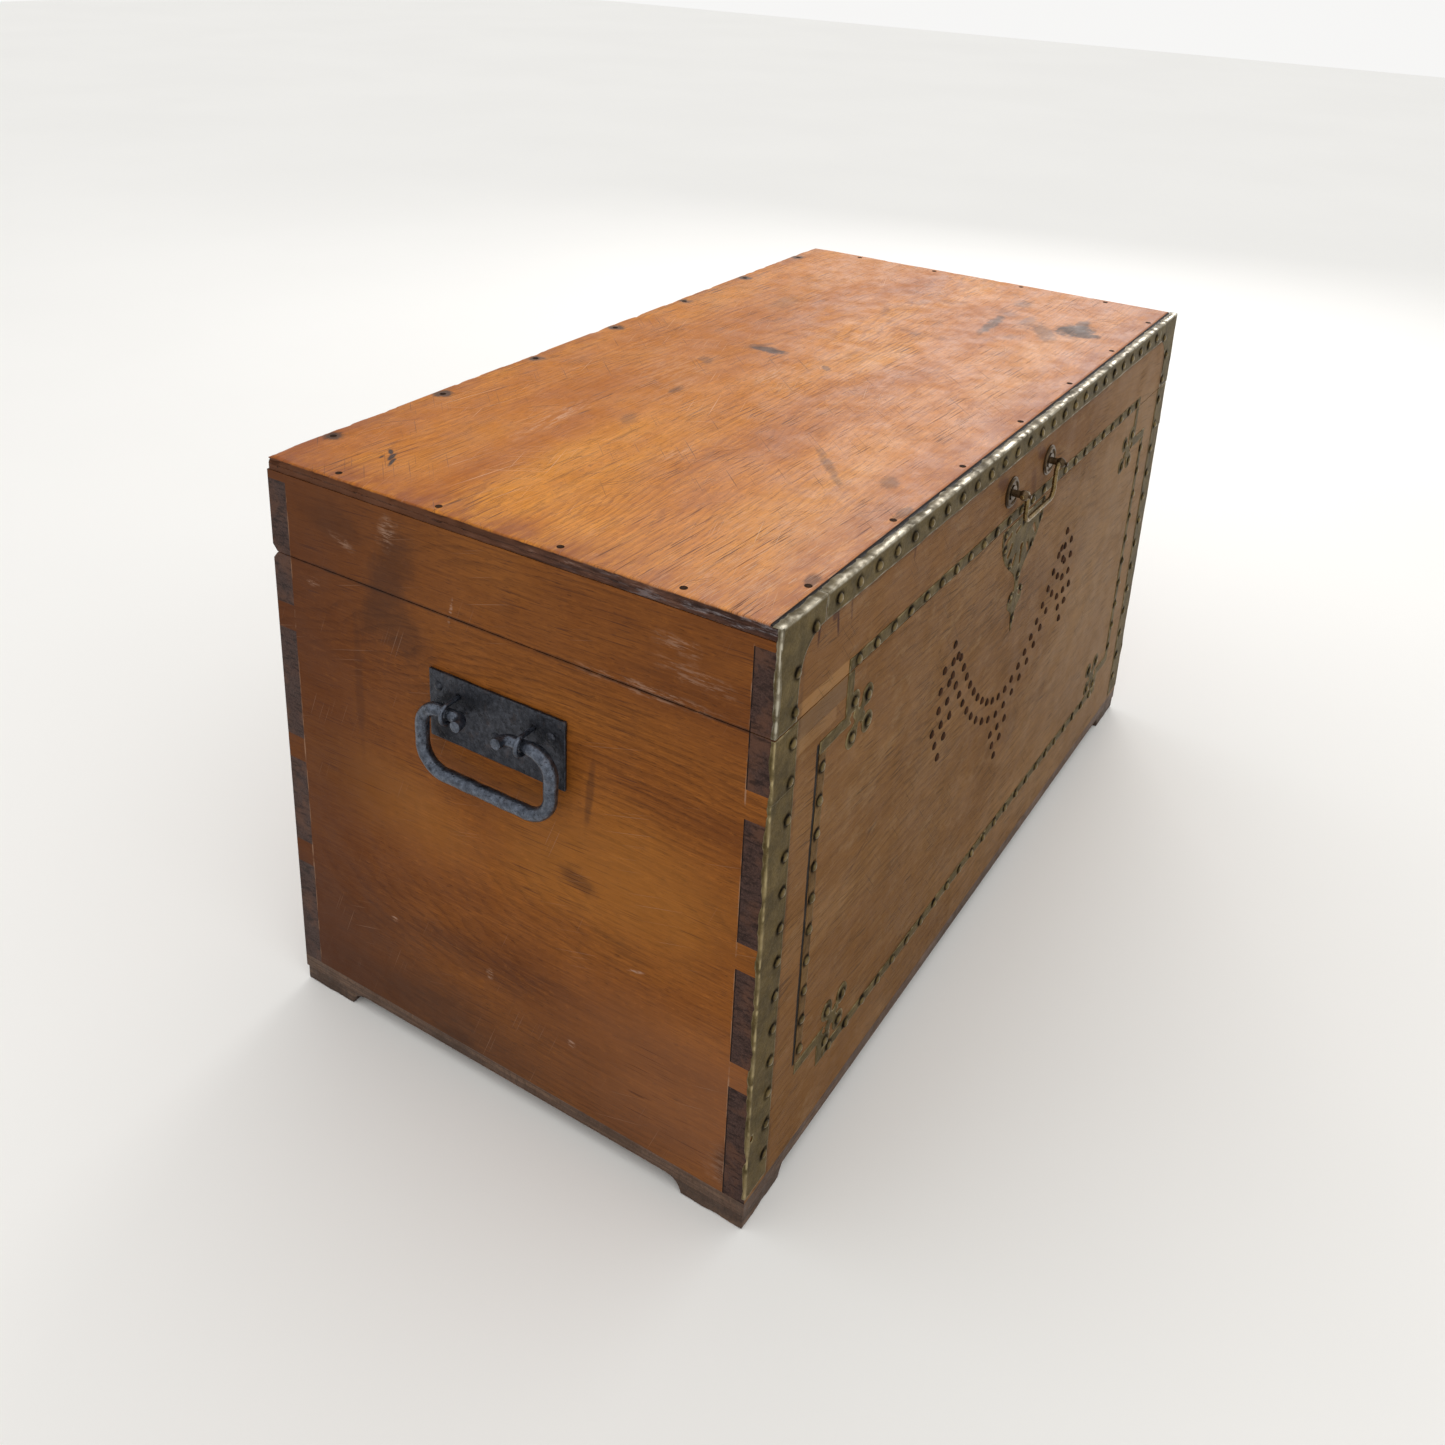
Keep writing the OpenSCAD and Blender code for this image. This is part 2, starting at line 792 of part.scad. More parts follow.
module hinge_leaf_lid_right() {
    color(brass) translate([hinge_x, axis_y, axis_z]) hinge_leaf(1);
}

module hinge_pin_left() {
    color(steel) translate([-hinge_x, axis_y, axis_z]) hinge_rod(hinge_pin_r, hinge_w);
}

module hinge_pin_right() {
    color(steel) translate([hinge_x, axis_y, axis_z]) hinge_rod(hinge_pin_r, hinge_w);
}

module hinge_screws_body() {
    color(brass) at_hinges() hinge_screw_places(-1) screw();
}

module hinge_screws_lid() {
    color(brass) at_hinges() hinge_screw_places(1) screw();
}

// ---------- end handles ----------

handle_nail_places = [[-plate_w / 2 + 9, plate_h / 2 - 13], [plate_w / 2 - 13, plate_h / 2 - 17], [0, -8]];

module handle_plate() {
    difference() {
        translate([-plate_w / 2, plate_z - plate_h / 2, 0]) cube([plate_w, plate_h, handle_plate_t]);
        for (x = [-1, 1], up = [-1, 1])
            translate([x * staple_x, handle_z + up * staple_loop_r, -eps])
                cylinder(r = staple_r + 0.1, h = handle_plate_t + 2 * eps);
        for (p = handle_nail_places)
            translate([p[0], plate_z + p[1], -eps]) cylinder(r = 1.9, h = handle_plate_t + 2 * eps);
    }
}

module handle_plate_left() {
    color(iron) on_end(-1) handle_plate();
}

module handle_plate_right() {
    color(iron) on_end(1) handle_plate();
}

// Two iron staples driven through the plate, each a loop round the handle's pivot.
module handle_staples() {
    leg_in = 16;
    leg = leg_in + handle_out;
    for (x = [-1, 1])
        translate([x * staple_x, handle_z + staple_loop_r, -leg_in])
            rotate([0, 0, -90])
                bent_rod(staple_r, [["line", leg], ["bend", staple_loop_r, 180], ["line", leg]]);
}

module handle_staples_left() {
    color(iron) on_end(-1) handle_staples();
}

module handle_staples_right() {
    color(iron) on_end(1) handle_staples();
}

module handle_nails() {
    color(iron) for (side = [-1, 1], p = handle_nail_places)
        on_end(side) translate([p[0], plate_z + p[1], handle_plate_t]) dome_nail(4.2, 1.4, 20, 1.8);
}

// Half of a handle, from the middle of its grip to the end that is curled outward.
module half_grip() {
    low_r = 22;
    high_r = 18;
    side_x = handle_w / 2 - grip_r;
    taper = 4.5;
    curl_x = 26;
    translate([0, handle_z - handle_drop, handle_out])
        rotate([0, 90, 0])
            rotate([0, 0, 90])
                bent_rod(grip_r, [
                    ["line", side_x - low_r], ["bend", low_r, 90],
                    ["line", handle_drop - low_r - high_r], ["bend", high_r, 90],
                    ["taper", taper, grip_end_r], ["line", side_x - high_r - taper - curl_x],
                    ["roll", 90], ["bend", hook_r, 90], ["line", 4],
                ]);
}

module handle_bail() {
    half_grip();
    mirror([1, 0, 0]) half_grip();
}

module handle_bail_left() {
    color(steel) on_end(-1) handle_bail();
}

module handle_bail_right() {
    color(steel) on_end(1) handle_bail();
}

// ---------- lid ----------

module lid_top_board() {
    color(wood) difference() {
        block([-half_w, front_y, top_z], [half_w, back_y, body_h]);
        block(
            [-half_w - eps, front_y - eps, body_h - brass_t],
            [half_w + eps, front_y + top_flange, body_h + eps]
        );
    }
}

module post_places() {
    for (side = [-1, 1])
        translate([side * post_gap / 2, front_y, post_z]) rotate([90, 0, 0]) children();
}

module lid_front_rail() {
    color(wood) difference() {
        block([-half_w, front_y, rim_z], [half_w, inner_y, top_z]);
        mirrored_x() lid_pins(front_y);
        block(
            [-catch_w / 2, bolt_y - catch_d / 2, rim_z - eps],
            [catch_w / 2, bolt_y + catch_d / 2, rim_z + selvedge_t]
        );
        post_places() translate([0, 0, -wall_t - eps]) cylinder(r = post_shank_r + 0.1, h = wall_t + 2 * eps);
    }
}

module lid_back_rail() {
    color(wood) difference() {
        block([-half_w, back_y - wall_t, rim_z], [half_w, back_y, top_z]);
        mirrored_x() lid_pins(back_y - wall_t);
        stop_chamfer(1);
        knuckle_pockets();
        for (side = [-1, 1])
            block([side * hinge_x - hinge_w / 2, axis_y - leaf_w, rim_z - eps],
                  [side * hinge_x + hinge_w / 2, axis_y, rim_z + leaf_t]);
    }
}

module lid_end_rail() {
    block([-half_w, front_y + wall_t, rim_z], [-half_w + wall_t, back_y - wall_t, top_z]);
    lid_pins(front_y);
    lid_pins(back_y - wall_t);
}

module lid_left_rail() {
    color(end_wood) lid_end_rail();
}

module lid_right_rail() {
    color(end_wood) mirror([1, 0, 0]) lid_end_rail();
}

// Nails down through the top board into the rails.
module lid_top_nails() {
    inset = wall_t / 2;
    color(iron) {
        for (i = [-3 : 3], y = [front_y + top_flange + 6, back_y - inset])
            translate([i * 128, y, body_h]) wire_nail(top_t + 22);
        for (side = [-1, 1], y = [-150, -50, 60, 160])
            translate([side * (half_w - inset), mid_y + y, body_h]) wire_nail(top_t + 22);
    }
}

// Brass angle along the lid's front edge, between two places along X, let in flush on top.
module edge_angle(x1, x2) {
    block([x1, front_y - brass_t, body_h - edge_h], [x2, front_y, body_h]);
    block([x1, front_y - brass_t, body_h - brass_t], [x2, front_y + top_flange, body_h]);
}

module lid_edge_brass() {
    seam = 0.3;
    reach = half_w - lid_plate_w - seam;
    color(brass) edge_angle(-reach, reach);
}

module lid_corner_brass() {
    edge_angle(-half_w - brass_t, -half_w + lid_plate_w);
    corner_strap(rim_z, body_h, lid_strap_w);
    on_front(brass_t)
        translate([-half_w + lid_strap_w, body_h - edge_h - gusset_r])
            difference() {
                square(gusset_r);
                translate([gusset_r, 0]) circle(gusset_r);
            }
}

module lid_corner_brass_left() {
    color(brass) lid_corner_brass();
}

module lid_corner_brass_right() {
    color(brass) mirror([1, 0, 0]) lid_corner_brass();
}

module lid_border_strip() {
    color(brass) on_front(brass_t)
        translate([-border_top_x - strip_w / 2, rim_z])
            square([2 * border_top_x + strip_w, strip_w]);
}

module lid_trim_nails() {
    edge_nail_x = half_w - lid_plate_w + 15;
    corner_nails = [[-half_w + 45, body_h - 18], [-strap_nail_x, body_h - 42], [-strap_nail_x, rim_z + 9]];
    color(brass) {
        mirrored_x() front_nails(corner_nails);
        front_nails([for (x = spaced(-edge_nail_x + 32, edge_nail_x - 32)) [x, body_h - 11]]);
        front_nails([for (x = spaced(-border_top_x + 8, border_top_x - 8)) [x, rim_z + strip_w / 2]]);
    }
}

// ---------- front handle ----------

module bail_posts() {
    color(brass) post_places() difference() {
        union() {
            translate([0, 0, -wall_t - 6]) cylinder(r = post_shank_r, h = wall_t + 6);
            cylinder(r = post_r, h = post_out);
            translate([0, 0, post_out]) sphere(post_ball_r);
            translate([0, 0, post_out]) cylinder(r = 1.6, h = front_proud - post_out);
        }
        translate([0, 0, post_out]) hinge_rod(bail_end_r + bail_play, 2 * post_ball_r + 2 * eps);
    }
}

// Turned back plates, with a raised ring and a boss round the post.
module bail_rosettes() {
    color(brass) post_places() rotate_extrude() {
        translate([post_r + 0.1, 0]) square([14 - post_r - 0.1, 1.2]);
        translate([post_r + 0.1, 0]) square([3.4, 2.6]);
        translate([11.4, 1.3]) circle(1.3);
    }
}

module bail_post_nuts() {
    color(brass) post_places() translate([0, 0, -wall_t - 3.2]) difference() {
        translate([-5, -5, 0]) cube([10, 10, 3.2]);
        translate([0, 0, -eps]) cylinder(r = post_shank_r + 0.1, h = 3.2 + 2 * eps);
    }
}

// Half of the small bail, from the middle of its grip into the bore of its post.
module half_bail() {
    low_r = 8;
    high_r = 5;
    taper = 1;
    arm_x = post_gap / 2 - post_ball_r - taper - high_r;
    rotate([0, 90, 0])
        rotate([0, 0, 90])
            bent_rod(bail_r, [
                ["line", arm_x - low_r], ["bend", low_r, 90],
                ["line", bail_drop - low_r - high_r], ["roll", 180], ["bend", high_r, 90],
                ["taper", taper, bail_end_r], ["line", 2 * post_ball_r + 1],
            ]);
}

module front_bail() {
    color(brass)
        translate([0, front_y, post_z])
            rotate([90, 0, 0])
                translate([0, -bail_drop, post_out]) {
                    half_bail();
                    mirror([1, 0, 0]) half_bail();
                }
}

front_board();
back_board();
left_end_board();
right_end_board();
bottom_board();
foot_front_left();
foot_front_right();
foot_back_left();
foot_back_right();
bottom_nails();
corner_brass_left();
corner_brass_right();
border_strip_left();
border_strip_right();
border_strip_bottom();
corner_ornament_upper_left();
corner_ornament_upper_right();
corner_ornament_lower_left();
corner_ornament_lower_right();
body_trim_nails();
escutcheon();
garland_studs();
lock_case();
lock_cap();
lock_key_pin();
lock_spring();
lock_screws();
lock_bolt();
hinge_leaf_body_left();
hinge_leaf_body_right();
hinge_pin_left();
hinge_pin_right();
hinge_screws_body();
handle_plate_left();
handle_plate_right();
handle_staples_left();
handle_staples_right();
handle_nails();
handle_bail_left();
handle_bail_right();
lid_top_board();
lid_front_rail();
lid_back_rail();
lid_left_rail();
lid_right_rail();
lid_top_nails();
lid_edge_brass();
lid_corner_brass_left();
lid_corner_brass_right();
lid_border_strip();
lid_trim_nails();
lock_catch();
lock_catch_screws();
hinge_leaf_lid_left();
hinge_leaf_lid_right();
hinge_screws_lid();
bail_posts();
bail_rosettes();
bail_post_nuts();
front_bail();
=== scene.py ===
"""Looks of the dovetailed chest: worn varnished boards, tarnished brass trim, forged iron handles."""

import functools
import math

import bmesh
import bpy
import numpy as np
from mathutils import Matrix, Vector


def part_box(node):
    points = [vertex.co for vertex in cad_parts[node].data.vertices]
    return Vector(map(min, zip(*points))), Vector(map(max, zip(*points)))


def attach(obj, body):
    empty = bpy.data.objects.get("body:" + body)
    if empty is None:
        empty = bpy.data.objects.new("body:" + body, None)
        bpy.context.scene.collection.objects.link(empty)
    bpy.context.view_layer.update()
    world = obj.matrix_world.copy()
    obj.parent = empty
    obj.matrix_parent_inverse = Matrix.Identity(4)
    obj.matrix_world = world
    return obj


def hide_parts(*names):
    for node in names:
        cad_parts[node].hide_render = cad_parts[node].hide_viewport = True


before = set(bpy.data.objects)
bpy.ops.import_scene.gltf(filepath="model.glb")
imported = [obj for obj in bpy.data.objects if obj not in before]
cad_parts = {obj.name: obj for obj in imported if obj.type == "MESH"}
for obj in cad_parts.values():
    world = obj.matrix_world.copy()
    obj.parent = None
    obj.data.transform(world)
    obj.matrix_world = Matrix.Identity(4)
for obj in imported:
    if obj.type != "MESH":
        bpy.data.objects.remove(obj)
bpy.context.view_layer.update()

# ---------- camera ----------

camera = bpy.data.objects.new("camera", bpy.data.cameras.new("camera"))
bpy.context.scene.collection.objects.link(camera)
camera.location = (-1.11772, -0.57283, 0.9272)
camera.rotation_euler = [math.radians(a) for a in (68.4747, -2.2106, -57.4596)]
camera.data.lens = 35.06
camera.data.sensor_width = 36
camera.data.shift_x = 0.0129
camera.data.shift_y = -0.1938
camera.data.clip_end = 200
bpy.context.scene.camera = camera

# ---------- places, in metres, read from the frame ----------

front_lo, front_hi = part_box("front_board")
top_lo, top_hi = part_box("lid_top_board")
FRONT = front_lo.y
BACK = top_hi.y
HALF = front_hi.x
TOP = top_hi.z
SPLIT = front_hi.z
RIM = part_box("lid_front_rail")[0].z
MID = (FRONT + BACK) / 2
WALL = front_hi.y - front_lo.y


# ---------- noise for shapes ----------


def lattice(i, j, k, seed):
    """A repeatable number from -1 to 1 for each whole-number point."""
    n = (i * 73856093) ^ (j * 19349663) ^ (k * 83492791) ^ (seed * 2654435761 & 0xFFFFFFFF)
    n = (n ^ (n >> 13)) * 1274126177 & 0xFFFFFFFF
    return ((n ^ (n >> 16)) & 0xFFFF) / 32767.5 - 1.0


def noise(points, size, seed=0, octaves=1):
    """Smooth noise from -1 to 1 at points (N x 3); size is that of its lumps, in metres."""
    total, weight = 0.0, 1.0
    for octave in range(octaves):
        p = points / size * 2**octave + 100.0
        cell = np.floor(p).astype(np.int64)
        f = p - cell
        f = f * f * (3 - 2 * f)
        value = 0.0
        for dx in (0, 1):
            for dy in (0, 1):
                for dz in (0, 1):
                    share = (f[:, 0] if dx else 1 - f[:, 0]) * (f[:, 1] if dy else 1 - f[:, 1])
                    share = share * (f[:, 2] if dz else 1 - f[:, 2])
                    value = (
                        value
                        + share * lattice(cell[:, 0] + dx, cell[:, 1] + dy, cell[:, 2] + dz, seed + octave)
                    )
        total = total + value * weight
        weight *= 0.5
    return total


def smooth(low, high, x):
    """0 below low, 1 above high, smooth between; low may be the larger one."""
    t = np.clip((x - low) / (high - low), 0, 1)
    return t * t * (3 - 2 * t)


def flat(u, v, w=0):
    """Points for noise from two coordinates."""
    return np.stack([u, v, 0 * u + w], 1)


def shade(colour, share):
    return tuple(c * share for c in colour)


# ---------- shader nodes ----------


class Value:
    """A shader socket that takes part in sums and products, each of which becomes a Math node."""

    def __init__(self, surface, socket):
        self.surface, self.socket = surface, socket

    def __add__(self, other):
        return self.surface.calc("ADD", self, other)

    def __radd__(self, other):
        return self.surface.calc("ADD", other, self)

    def __sub__(self, other):
        return self.surface.calc("SUBTRACT", self, other)

    def __rsub__(self, other):
        return self.surface.calc("SUBTRACT", other, self)

    def __mul__(self, other):
        return self.surface.calc("MULTIPLY", self, other)

    def __rmul__(self, other):
        return self.surface.calc("MULTIPLY", other, self)


class Surface:
    """A material under construction. What its methods take are Values or plain numbers."""

    def __init__(self, name):
        self.material = bpy.data.materials.new(name)
        self.material.use_nodes = True
        self.tree = self.material.node_tree
        self.shader = self.tree.nodes["Principled BSDF"]
        self.at = self.value(self.node("ShaderNodeTexCoord"), "Object")
        parts = self.node("ShaderNodeSeparateXYZ")
        self.feed(parts.inputs[0], self.at)
        self.x, self.y, self.z = (self.value(parts, i) for i in range(3))

    def node(self, kind, **settings):
        made = self.tree.nodes.new(kind)
        for key, value in settings.items():
            setattr(made, key, value)
        return made

    def value(self, made, output=0):
        return Value(self, made.outputs[output])

    def feed(self, socket, value):
        if isinstance(value, Value):
            self.tree.links.new(value.socket, socket)
        elif socket.type == "RGBA":
            socket.default_value = (*value, 1)
        else:
            socket.default_value = value

    def fed(self, kind, values, **settings):
        """The first output of a new node whose inputs are values, in order."""
        made = self.node(kind, **settings)
        for socket, value in zip(made.inputs, values):
            self.feed(socket, value)
        return self.value(made)

    def calc(self, operation, a, b=0.0):
        return self.fed("ShaderNodeMath", (a, b), operation=operation)

    def most(self, a, b):
        return self.calc("MAXIMUM", a, b)

    def size(self, a):
        return self.calc("ABSOLUTE", a)

    def length(self, a, b):
        return self.calc("SQRT", a * a + b * b)

    def wander(self, a, amount):
        """a, made to wander by the board's clouds of colour."""
        return a + (self.cloud - 0.5) * amount

    def near(self, a, b, outer, inner):
        """0 where a and b differ by outer or more, 1 where they differ by inner or less."""
        return self.fade(self.size(a - b), outer, inner)

    def join(self, x, y, z):
        return self.fed("ShaderNodeCombineXYZ", (x, y, z))

    def scaled(self, vector, scale, move=(0, 0, 0), turn=(0, 0, 0)):
        made = self.node("ShaderNodeMapping")
        self.feed(made.inputs["Vector"], vector)
        made.inputs["Scale"].default_value = scale
        made.inputs["Location"].default_value = move
        made.inputs["Rotation"].default_value = turn
        return self.value(made)

    def noise(self, vector, scale, detail=3.0, rough=0.55):
        made = self.node("ShaderNodeTexNoise")
        self.feed(made.inputs["Vector"], vector)
        made.inputs["Scale"].default_value = scale
        made.inputs["Detail"].default_value = detail
        made.inputs["Roughness"].default_value = rough
        return self.value(made, "Fac")

    def drawn(self, scale, detail=3.0, rough=0.55, move=(0, 0, 0)):
        """Noise with a scale of its own along each axis."""
        return self.noise(self.scaled(self.at, scale, move), 1.0, detail, rough)

    def patchy(self, scale, detail, low, high, rough=0.55):
        """Patches: 0 where the noise is under low, 1 where it is over high."""
        return self.fade(self.noise(self.at, scale, detail, rough), low, high)

    def cells(self, scale):
        made = self.node("ShaderNodeTexVoronoi")
        self.feed(made.inputs["Vector"], self.at)
        made.inputs["Scale"].default_value = scale
        return self.value(made, "Distance")

    def fade(self, x, low, high, out_low=0.0, out_high=1.0):
        """out_low at low, out_high at high, smooth between and flat outside."""
        values = (x, low, high, out_low, out_high)
        return self.fed("ShaderNodeMapRange", values, interpolation_type="SMOOTHSTEP")

    def uneven(self, scale, low, high):
        """A value that wanders from low to high over the surface, such as roughness."""
        return self.fade(self.noise(self.at, scale, 5, 0.65), 0.3, 0.75, low, high)

    def mix(self, share, a, b):
        made = self.node("ShaderNodeMix", data_type="RGBA")
        for socket, value in zip((made.inputs[0], made.inputs[6], made.inputs[7]), (share, a, b)):
            self.feed(socket, value)
        return self.value(made, 2)

    def tint(self, share, colour):
        """Turns the surface's own colour towards another."""
        self.colour = self.mix(share, self.colour, colour)

    def ramp(self, share, stops):
        made = self.node("ShaderNodeValToRGB")
        self.feed(made.inputs[0], share)
        band = made.color_ramp
        while len(band.elements) < len(stops):
            band.elements.new(0.5)
        for element, (place, colour) in zip(band.elements, stops):
            element.position = place
            element.color = (*colour, 1)
        return self.value(made)

    def spot(self, u, v, place, radii, turn=0.0, ragged=0.35, soft=0.5, grain=60.0):
        """1 inside a ragged patch with two radii, 0 outside. Places and radii are in metres."""
        du, dv = u - place[0], v - place[1]
        c, s = math.cos(turn), math.sin(turn)
        along = (du * c + dv * s) * (1 / radii[0])
        across = (dv * c - du * s) * (1 / radii[1])
        far = self.length(along, across)
        lumps = self.noise(self.at, grain, 4, 0.65) - 0.5
        return self.fade(far + lumps * (4 * ragged), 1 + soft / 2, 1 - soft / 2)

    def spots(self, u, v, rows, ragged, soft, grain, texture=None):
        """The strongest of many spots, each a row of place and radii in mm, turn and weight."""
        found = 0.0
        for *sizes, turn, weight in rows:
            a, b, length, width = (size / 1000 for size in sizes)
            patch = self.spot(u, v, (a, b), (length, width), turn, ragged, soft, grain)
            patch = patch * texture if texture else patch
            found = self.most(found, patch * weight)
        return found

    def attribute(self, name):
        return self.value(self.node("ShaderNodeAttribute", attribute_name=name), "Fac")

    def bump(self, height, strength, distance, below=None):
        made = self.node("ShaderNodeBump")
        made.inputs["Strength"].default_value = strength
        made.inputs["Distance"].default_value = distance
        self.feed(made.inputs["Height"], height)
        if below is not None:
            self.feed(made.inputs["Normal"], below)
        return self.value(made)

    def finish(self, rough, normal, **fixed):
        self.feed(self.shader.inputs["Base Color"], self.colour)
        self.feed(self.shader.inputs["Roughness"], rough)
        self.feed(self.shader.inputs["Normal"], normal)
        for key, value in fixed.items():
            self.feed(self.shader.inputs[key.replace("_", " ")], value)
        return self.material


# ---------- wood ----------

BARE = (0.30, 0.19, 0.105)


class Wood(Surface):
    """A board with its grain along one axis: u along the grain, v across its face.

    heart is where the growth rings centre (u, v), depth is how far they lie under the face there, and taper
    is how fast that changes along the grain, which gives the arched figure of a sawn board.
    """

    def __init__(self, name, axes, heart, depth, taper, pitch, seed=0.0):
        super().__init__(name)
        by_axis = dict(zip("xyz", (self.x, self.y, self.z)))
        self.u, self.v, self.w = (by_axis[a] for a in axes)
        self.flow = self.join(self.u, self.v, self.w)
        move = (seed, seed * 1.7, seed * 2.3)

        def figure(scale, detail, rough, move=move):
            return self.noise(self.scaled(self.flow, scale, move), 1.0, detail, rough)

        drift = figure((2.6, 8, 8), 3, 0.55) - 0.5
        ripple = figure((14, 60, 60), 4, 0.6) - 0.5
        below = (self.u - heart[0]) * taper + depth
        aside = self.v - heart[1] + drift * 0.09
        radius = self.length(aside, below) + ripple * 0.008
        self.ring = self.calc("FRACT", radius * (1 / pitch))
        self.fibre = figure((19, 620, 620), 6, 0.70)
        self.hair = figure((60, 1500, 1500), 4, 0.7)
        self.cloud = figure((4, 12, 12), 6, 0.6)
        self.mottle = figure((90, 170, 170), 6, 0.75)
        self.pore = self.fade(figure((110, 1300, 1300), 2, 0.6), 0.58, 0.68)
        self.streak = self.fade(figure((13, 250, 250), 3, 0.6, (seed * 3.1, 0, 0)), 0.585, 0.655)

    def colours(self, dark, middle, light, ring_share=0.5, line=None):
        """The board's own colour: cloudy, streaked, with growth rings and pores."""
        body = self.ramp(self.cloud, [(0.30, dark), (0.5, middle), (0.70, light)])
        body = self.mix(self.fade(self.fibre, 0.44, 0.66) * 0.42, body, shade(middle, 0.55))
        body = self.mix(self.fade(self.fibre, 0.48, 0.3) * 0.28, body, shade(light, 1.35))
        edge = self.most(self.fade(self.ring, 0.10, 0.0), self.fade(self.ring, 0.55, 1.0, 0.0, 0.75))
        presence = self.fade(self.noise(self.scaled(self.flow, (3, 14, 14), (4, 1, 2)), 1.0, 2), 0.36, 0.60)
        broken = self.fade(self.fibre, 0.3, 0.6, 0.45, 1.0)
        line = line or shade(dark, 0.4)
        body = self.mix(edge * presence * broken * ring_share, body, line)
        body = self.mix(self.fade(self.hair, 0.5, 0.72) * 0.4, body, shade(dark, 0.45))
        clear = self.fade(self.cloud, 0.36, 0.62, 0.25, 1.0)
        body = self.mix(self.streak * clear * 0.5, body, shade(middle, 0.38))
        body = self.mix(self.fade(self.mottle, 0.52, 0.72) * 0.28, body, shade(dark, 0.5))
        body = self.mix(self.fade(self.mottle, 0.46, 0.28) * 0.28, body, shade(light, 1.5))
        return self.mix(self.pore * 0.55, body, shade(dark, 0.25))

    def scratches(self, face, angle, reach, width, rare, seed):
        """Straight hair-line scratches on a face given by two coordinates."""
        a, b = face
        turned = self.scaled(self.join(a, b, 0.0), (1, 1, 1), turn=(0, 0, angle))
        lines = self.noise(self.scaled(turned, (1 / reach, 1 / width, 1), (seed, seed, seed)), 1.0, 0, 0.5)
        return self.fade(lines, rare, rare + 0.05)

    def scored(self, face, *rows):
        """Sets of scratches, each with the scale, detail, low and high of the patches where they lie."""
        sets = [self.scratches(face, *scratch) * self.patchy(*patch) for scratch, patch in rows]
        return functools.reduce(self.most, sets)

    def height(self, depth=1.0):
        """Fibres, hairs and mottle as relief, with the pores sunk."""
        fine = self.fibre * 0.9 + self.hair * 0.5
        fine = fine + self.mottle * 0.5
        return (fine - self.pore * 0.6) * depth

    def inside(self):
        """1 on the faces that look into the chest."""
        m = self.fade(self.size(self.x), HALF - WALL + 0.0006, HALF - WALL + 0.0003)
        m = m * self.near(self.y, MID, MID - FRONT - WALL + 0.0006, MID - FRONT - WALL + 0.0003)
        m = m * self.fade(self.z, 0.0262, 0.0266)
        return m * self.fade(self.z, top_lo.z + 0.0006, top_lo.z + 0.0003)

    def bare(self, rough):
        """Unvarnished wood inside the chest, which is rougher."""
        raw = self.mix(self.fade(self.fibre, 0.3, 0.7), BARE, shade(BARE, 0.6))
        raw = self.mix(self.fade(self.cloud, 0.4, 0.7) * 0.4, raw, (0.16, 0.09, 0.05))
        raw = self.mix(self.pore * 0.6, raw, (0.06, 0.035, 0.02))
        within = self.inside()
        self.tint(within, raw)
        return rough + within * 0.35


def end_grain(s, reach, at, dark=(0.038, 0.021, 0.017)):
    """Dark open end grain where the board's length comes out: where at is past reach."""
    speck = s.noise(s.at, 800, 4, 0.7)
    rings = s.drawn((40, 90, 300), 5, 0.65)
    cloudy = s.noise(s.at, 42, 5, 0.65)
    grain = s.mix(s.fade(speck, 0.35, 0.7), dark, shade(dark, 2.0))
    grain = s.mix(s.fade(cloudy, 0.45, 0.66) * 0.6, grain, (0.115, 0.052, 0.03))
    grain = s.mix(s.fade(rings, 0.48, 0.66) * 0.7, grain, shade(dark, 0.35))
    s.tint(s.fade(at, reach - 0.0004, reach - 0.0002), grain)


